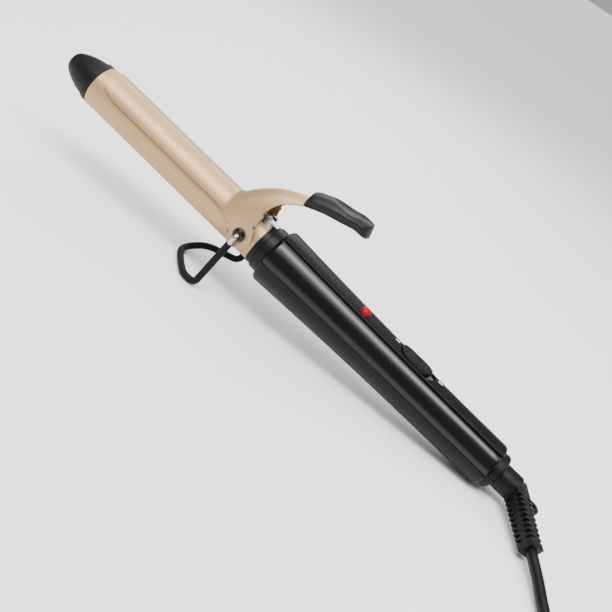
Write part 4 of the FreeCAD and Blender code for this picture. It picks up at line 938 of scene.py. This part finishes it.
class IRON_OT_plug(Operator):
    """Moulds the flat two-pin plug and straps the coil"""
    bl_idname = "iron.plug"
    bl_label = "Plug and coil tie"

    def execute(self, context):
        entry = Vector(TAIL_ROUTE[-1]) / MM
        seat = Matrix.Translation((entry.x, entry.y, 6.9))
        place = Matrix.Scale(MM, 4) @ seat @ Matrix.Rotation(math.pi / 2, 4, "Z")
        loops = [flat_oval(*size) for size in (
            (0, 6.4, 6.4, 2.9), (0.6, 7.2, 7.2, 3.2), (2.6, 7.5, 7.3, 3.2), (2.9, 6.7, 6.6, 2.9),
            (4.3, 6.9, 6.8, 2.9), (4.6, 8.0, 7.8, 3.3), (6.6, 8.3, 8.0, 3.4), (6.9, 7.3, 7.2, 3.0),
            (8.3, 7.5, 7.4, 3.0),
            (8.6, 8.7, 8.2, 3.5), (11.6, 9.2, 8.6, 3.6), (12.0, 11.8, 10.2, 4.0), (12.8, 13.6, 11.2, 4.4),
            (16, 16.4, 12.4, 5.0), (20, 20.3, 13.3, 5.4), (24, 24.8, 13.6, 5.6), (28, 28.6, 13.7, 5.6),
            (32, 31.2, 13.7, 5.6), (37, 32.9, 13.7, 5.6), (43.6, 33.8, 13.7, 5.6), (44.5, 33.4, 13.3, 5.4),
            (45, 32.2, 12.1, 4.9))]
        fit(loft(loops), "plug_moulding", "plug_black", "cord", ["plug_body"], place, angle=40)
        pin = rounded([(-6, 0), (-6, 2.0), (19, 2.0), (19, 0)], [0, 0, 1.2, 0])
        pins = [turned(pin, closed=False, steps=48, place=Matrix.Translation((45, side * 9.3, 0)))
                for side in (1, -1)]
        fit(add(*pins), "plug_contacts", "plated", "cord", ["plug_pins"], place)

        facts = context.scene.iron_cord
        pitch, strand = facts.diameter * 1.02 / MM, facts.diameter / 2 / MM + 0.12
        mean, base = facts.coil / 2 / MM, COIL_BASE / MM
        # the strap is drawn round the strands at its place, where the top outer turn hasn't come in yet
        hull = [(mean - pitch, base), (mean + pitch, base), (mean + pitch, base + pitch),
                (mean, base + 2 * pitch), (mean - pitch, base + 2 * pitch)]
        outline = []
        for i, here in enumerate(hull):
            ways = [Vector(here) - Vector(hull[i - 1]), Vector(hull[(i + 1) % len(hull)]) - Vector(here)]
            first, last = (math.atan2(-w.x, w.y) for w in ways)
            last = first + (last - first) % (2 * math.pi)
            outline += [Vector(here) + strand * Vector((math.cos(a), math.sin(a)))
                        for a in (first + (last - first) * k / 6 for k in range(7))]
        strap = loft([[Vector((p.x, y, p.y)) for p in outline] for y in (-4.5, 4.5)], caps=False)
        bmesh.ops.solidify(strap, geom=list(strap.faces), thickness=-0.7)
        bmesh.ops.recalc_face_normals(strap, faces=strap.faces)
        soften(strap, 0.2)
        turn = Matrix.Rotation(math.radians(TIE_ANGLE), 4, "Z") @ Matrix.Scale(MM, 4)
        fit(strap, "coil_strap", "sleeve_black", "cord", ["cord_tie"],
            Matrix.Translation((*COIL_CENTRE, 0)) @ turn)
        return {"FINISHED"}


# ------------------------------------------------------------------ the cord and its route

# The same points as the CAD route, in metres, from the strain relief's end to the coil.
CORD_ROUTE = [(0.1641, -0.0314, 0.0064), (0.1696, -0.0420, 0.0054), (0.1752, -0.0545, 0.0035),
              (0.1809, -0.0674, 0.00266), (0.1909, -0.0771, 0.00266), (0.2039, -0.0823, 0.0028),
              (0.2475, -0.0822, 0.0033)]
# From the coil to the plug.
TAIL_ROUTE = [(0.2848, -0.0789, 0.0140), (0.3041, -0.0755, 0.0122), (0.3156, -0.0670, 0.0098),
              (0.3220, -0.0542, 0.0078), (0.3220, -0.0470, 0.0072)]
COIL_CENTRE = (0.2630, -0.0450)
COIL_BASE = 0.0035                 # height of the bottom layer's centre line
TIE_ANGLE = 340.0                  # where the strap holds the coil, in degrees round it
ENTER, LEAVE = 269.6, 280.0        # degrees round the coil where the cord comes in and goes out
# the slots of the winding, as (step inwards, layer), in the order in which the turns fill them
WINDING = [(0, 0), (1, 0), (2, 0), (2, 1), (2, 2), (1, 2), (1, 1), (0, 1), (0, 2)]
FIRST_CHANGE, CHANGE, LAG = 521.0, 54.0, 18.5    # where a turn eases over to the next slot, in degrees
POINTS_PER_TURN = 24


def coil_points(pitch, mean):
    """Control points of the coil's turns: each turn keeps to its slot and then eases over to the next."""
    moves = [FIRST_CHANGE + i * (360.0 - LAG) for i in range(len(WINDING) - 1)]
    end = LEAVE + 360.0 * math.ceil((moves[-1] + CHANGE - LEAVE) / 360.0)
    count = round((end - ENTER) * POINTS_PER_TURN / 360.0)
    step = (end - ENTER) / count
    swell = 1 / (0.75 + 0.25 * math.cos(math.radians(step)))     # a quadratic spline runs inside its points
    points = []
    for i in range(count + 1):
        angle = ENTER + i * step
        place = Vector(WINDING[0])
        for move, before, after in zip(moves, WINDING, WINDING[1:]):
            share = min(1.0, max(0.0, (angle - move) / CHANGE))
            place += (Vector(after) - Vector(before)) * (share * share * (3 - 2 * share))
        radius = (mean + pitch - place[0] * pitch) * swell
        turn = math.radians(angle)
        points.append((COIL_CENTRE[0] + radius * math.cos(turn), COIL_CENTRE[1] + radius * math.sin(turn),
                       COIL_BASE + place[1] * pitch))
    return points


def cord_spline(points, radius, name):
    """A round cord on one smooth quadratic spline."""
    curve = bpy.data.curves.new(name, "CURVE")
    curve.dimensions = "3D"
    curve.bevel_depth = radius
    curve.bevel_resolution = 5
    curve.resolution_u = 6
    spline = curve.splines.new("NURBS")
    spline.points.add(len(points) - 1)
    for point, place in zip(spline.points, points):
        point.co = (*place, 1.0)
    spline.order_u = 3
    spline.use_endpoint_u = True
    cord = bpy.data.objects.new(name, curve)
    bpy.context.scene.collection.objects.link(cord)
    return cord


class IRON_OT_cord(Operator):
    """Lays the mains cord, its coil and the stretch to the plug as one spline"""
    bl_idname = "iron.cord"
    bl_label = "Mains cord"

    def execute(self, context):
        facts = context.scene.iron_cord
        pitch = facts.diameter * 1.02
        turns = coil_points(pitch, facts.coil / 2)
        cord = cord_spline(CORD_ROUTE + turns + TAIL_ROUTE, facts.diameter / 2, "mains_cord")
        cord.data.materials.append(MATERIALS["cord_black"])
        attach(cord, "cord")
        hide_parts("power_cord", "cord_coil", "cord_tail")
        return {"FINISHED"}


class IRON_OT_finishes(Operator):
    """Gives every CAD piece the material of its slot"""
    bl_idname = "iron.finishes"
    bl_label = "Finishes"

    def execute(self, context):
        MATERIALS.update(build_materials())
        slots = {part["node"]: part["material_slot"] for part in frame["record"]["subparts"]}
        for node, piece in frame["nodes"].items():
            piece.data.materials.clear()
            piece.data.materials.append(MATERIALS[slots[node]])
        return {"FINISHED"}


# ------------------------------------------------------------------ stage

CAMERA_PLACE = (0.0691, -0.3653, 0.2019)
CAMERA_RIGHT = (0.79099, 0.35999, 0.49471)
CAMERA_UP = (-0.59827, 0.28580, 0.74860)
CAMERA_BACK = (0.12811, -0.88810, 0.44144)
CAMERA_LENS = 49.72


def soft_light(name, place, target, size, watts, size_y=None):
    data = bpy.data.lights.new(name, "AREA")
    data.energy = watts
    data.size = size
    if size_y:
        data.shape = "RECTANGLE"
        data.size_y = size_y
    light = bpy.data.objects.new(name, data)
    light.location = place
    light.rotation_euler = (Vector(target) - Vector(place)).to_track_quat("-Z", "Y").to_euler()
    bpy.context.scene.collection.objects.link(light)
    return light


class IRON_OT_stage(Operator):
    """Sets the plain floor, the soft light and the camera"""
    bl_idname = "iron.stage"
    bl_label = "Stage"

    def execute(self, context):
        scene = context.scene
        camera = bpy.data.objects.new("camera", bpy.data.cameras.new("camera"))
        turn = Matrix((CAMERA_RIGHT, CAMERA_UP, CAMERA_BACK)).transposed().to_4x4()
        camera.matrix_world = Matrix.Translation(CAMERA_PLACE) @ turn
        camera.data.lens = CAMERA_LENS
        camera.data.sensor_width = 36.0
        camera.data.clip_start = 0.01
        scene.collection.objects.link(camera)
        scene.camera = camera

        mesh = bpy.data.meshes.new("floor")
        bm = bmesh.new()
        bmesh.ops.create_grid(bm, x_segments=1, y_segments=1, size=40.0)
        bm.to_mesh(mesh)
        bm.free()
        floor = bpy.data.objects.new("floor", mesh)
        floor.location = (0, 0, -0.0003)
        scene.collection.objects.link(floor)
        material, _, _ = new_material("matt_studio_floor", Base_Color=tuple(colours().floor), Roughness=0.9)
        mesh.materials.append(material)

        world = bpy.data.worlds.new("studio")
        scene.world = world
        world.use_nodes = True
        world.node_tree.nodes["Background"].inputs["Color"].default_value = (1, 1, 1, 1)
        world.node_tree.nodes["Background"].inputs["Strength"].default_value = 0.42
        middle = (0, 0, 0.03)
        soft_light("key_strip_softbox", (0.03, -0.33, 0.78), middle, 0.9, 9.0, 0.2)
        soft_light("back_softbox", (-0.2, 0.55, 0.6), middle, 0.6, 5.0)
        soft_light("side_softbox", (0.6, 0.1, 0.5), middle, 0.4, 2.0)
        wide = bpy.data.lights.new("overhead_canopy", "SUN")
        wide.energy, wide.angle = 2.8, math.radians(60)
        canopy = bpy.data.objects.new("overhead_canopy", wide)
        canopy.rotation_euler = (math.radians(18), math.radians(-10), 0)
        scene.collection.objects.link(canopy)
        return {"FINISHED"}


class IRON_PT_panel(Panel):
    """Lists the operators that build the curling iron"""
    bl_label = "Curling Iron"
    bl_idname = "IRON_PT_panel"
    bl_space_type = "VIEW_3D"
    bl_region_type = "UI"
    bl_category = "Curling Iron"

    def draw(self, context):
        for group in (context.scene.iron_sizes, context.scene.iron_cord, context.scene.iron_colours):
            for name in group.bl_rna.properties.keys():
                if name not in ("rna_type", "name"):
                    self.layout.prop(group, name)
        for operator in OPERATORS:
            self.layout.operator(operator.bl_idname)


OPERATORS = (IRON_OT_finishes, IRON_OT_stage, IRON_OT_barrel, IRON_OT_clip, IRON_OT_grip, IRON_OT_handle,
             IRON_OT_switch, IRON_OT_stand, IRON_OT_cord_end, IRON_OT_plug, IRON_OT_cord)
GROUPS = (IronSizes, CordSizes, FinishColours)


def register():
    for kind in GROUPS + OPERATORS + (IRON_PT_panel,):
        bpy.utils.register_class(kind)
    bpy.types.Scene.iron_sizes = PointerProperty(type=IronSizes)
    bpy.types.Scene.iron_cord = PointerProperty(type=CordSizes)
    bpy.types.Scene.iron_colours = PointerProperty(type=FinishColours)


def unregister():
    for name in ("iron_sizes", "iron_cord", "iron_colours"):
        delattr(bpy.types.Scene, name)
    for kind in reversed(GROUPS + OPERATORS + (IRON_PT_panel,)):
        bpy.utils.unregister_class(kind)


def main():
    register()
    for operator in OPERATORS:
        group, name = operator.bl_idname.split(".")
        getattr(getattr(bpy.ops, group), name)()


if __name__ == "__main__":
    main()
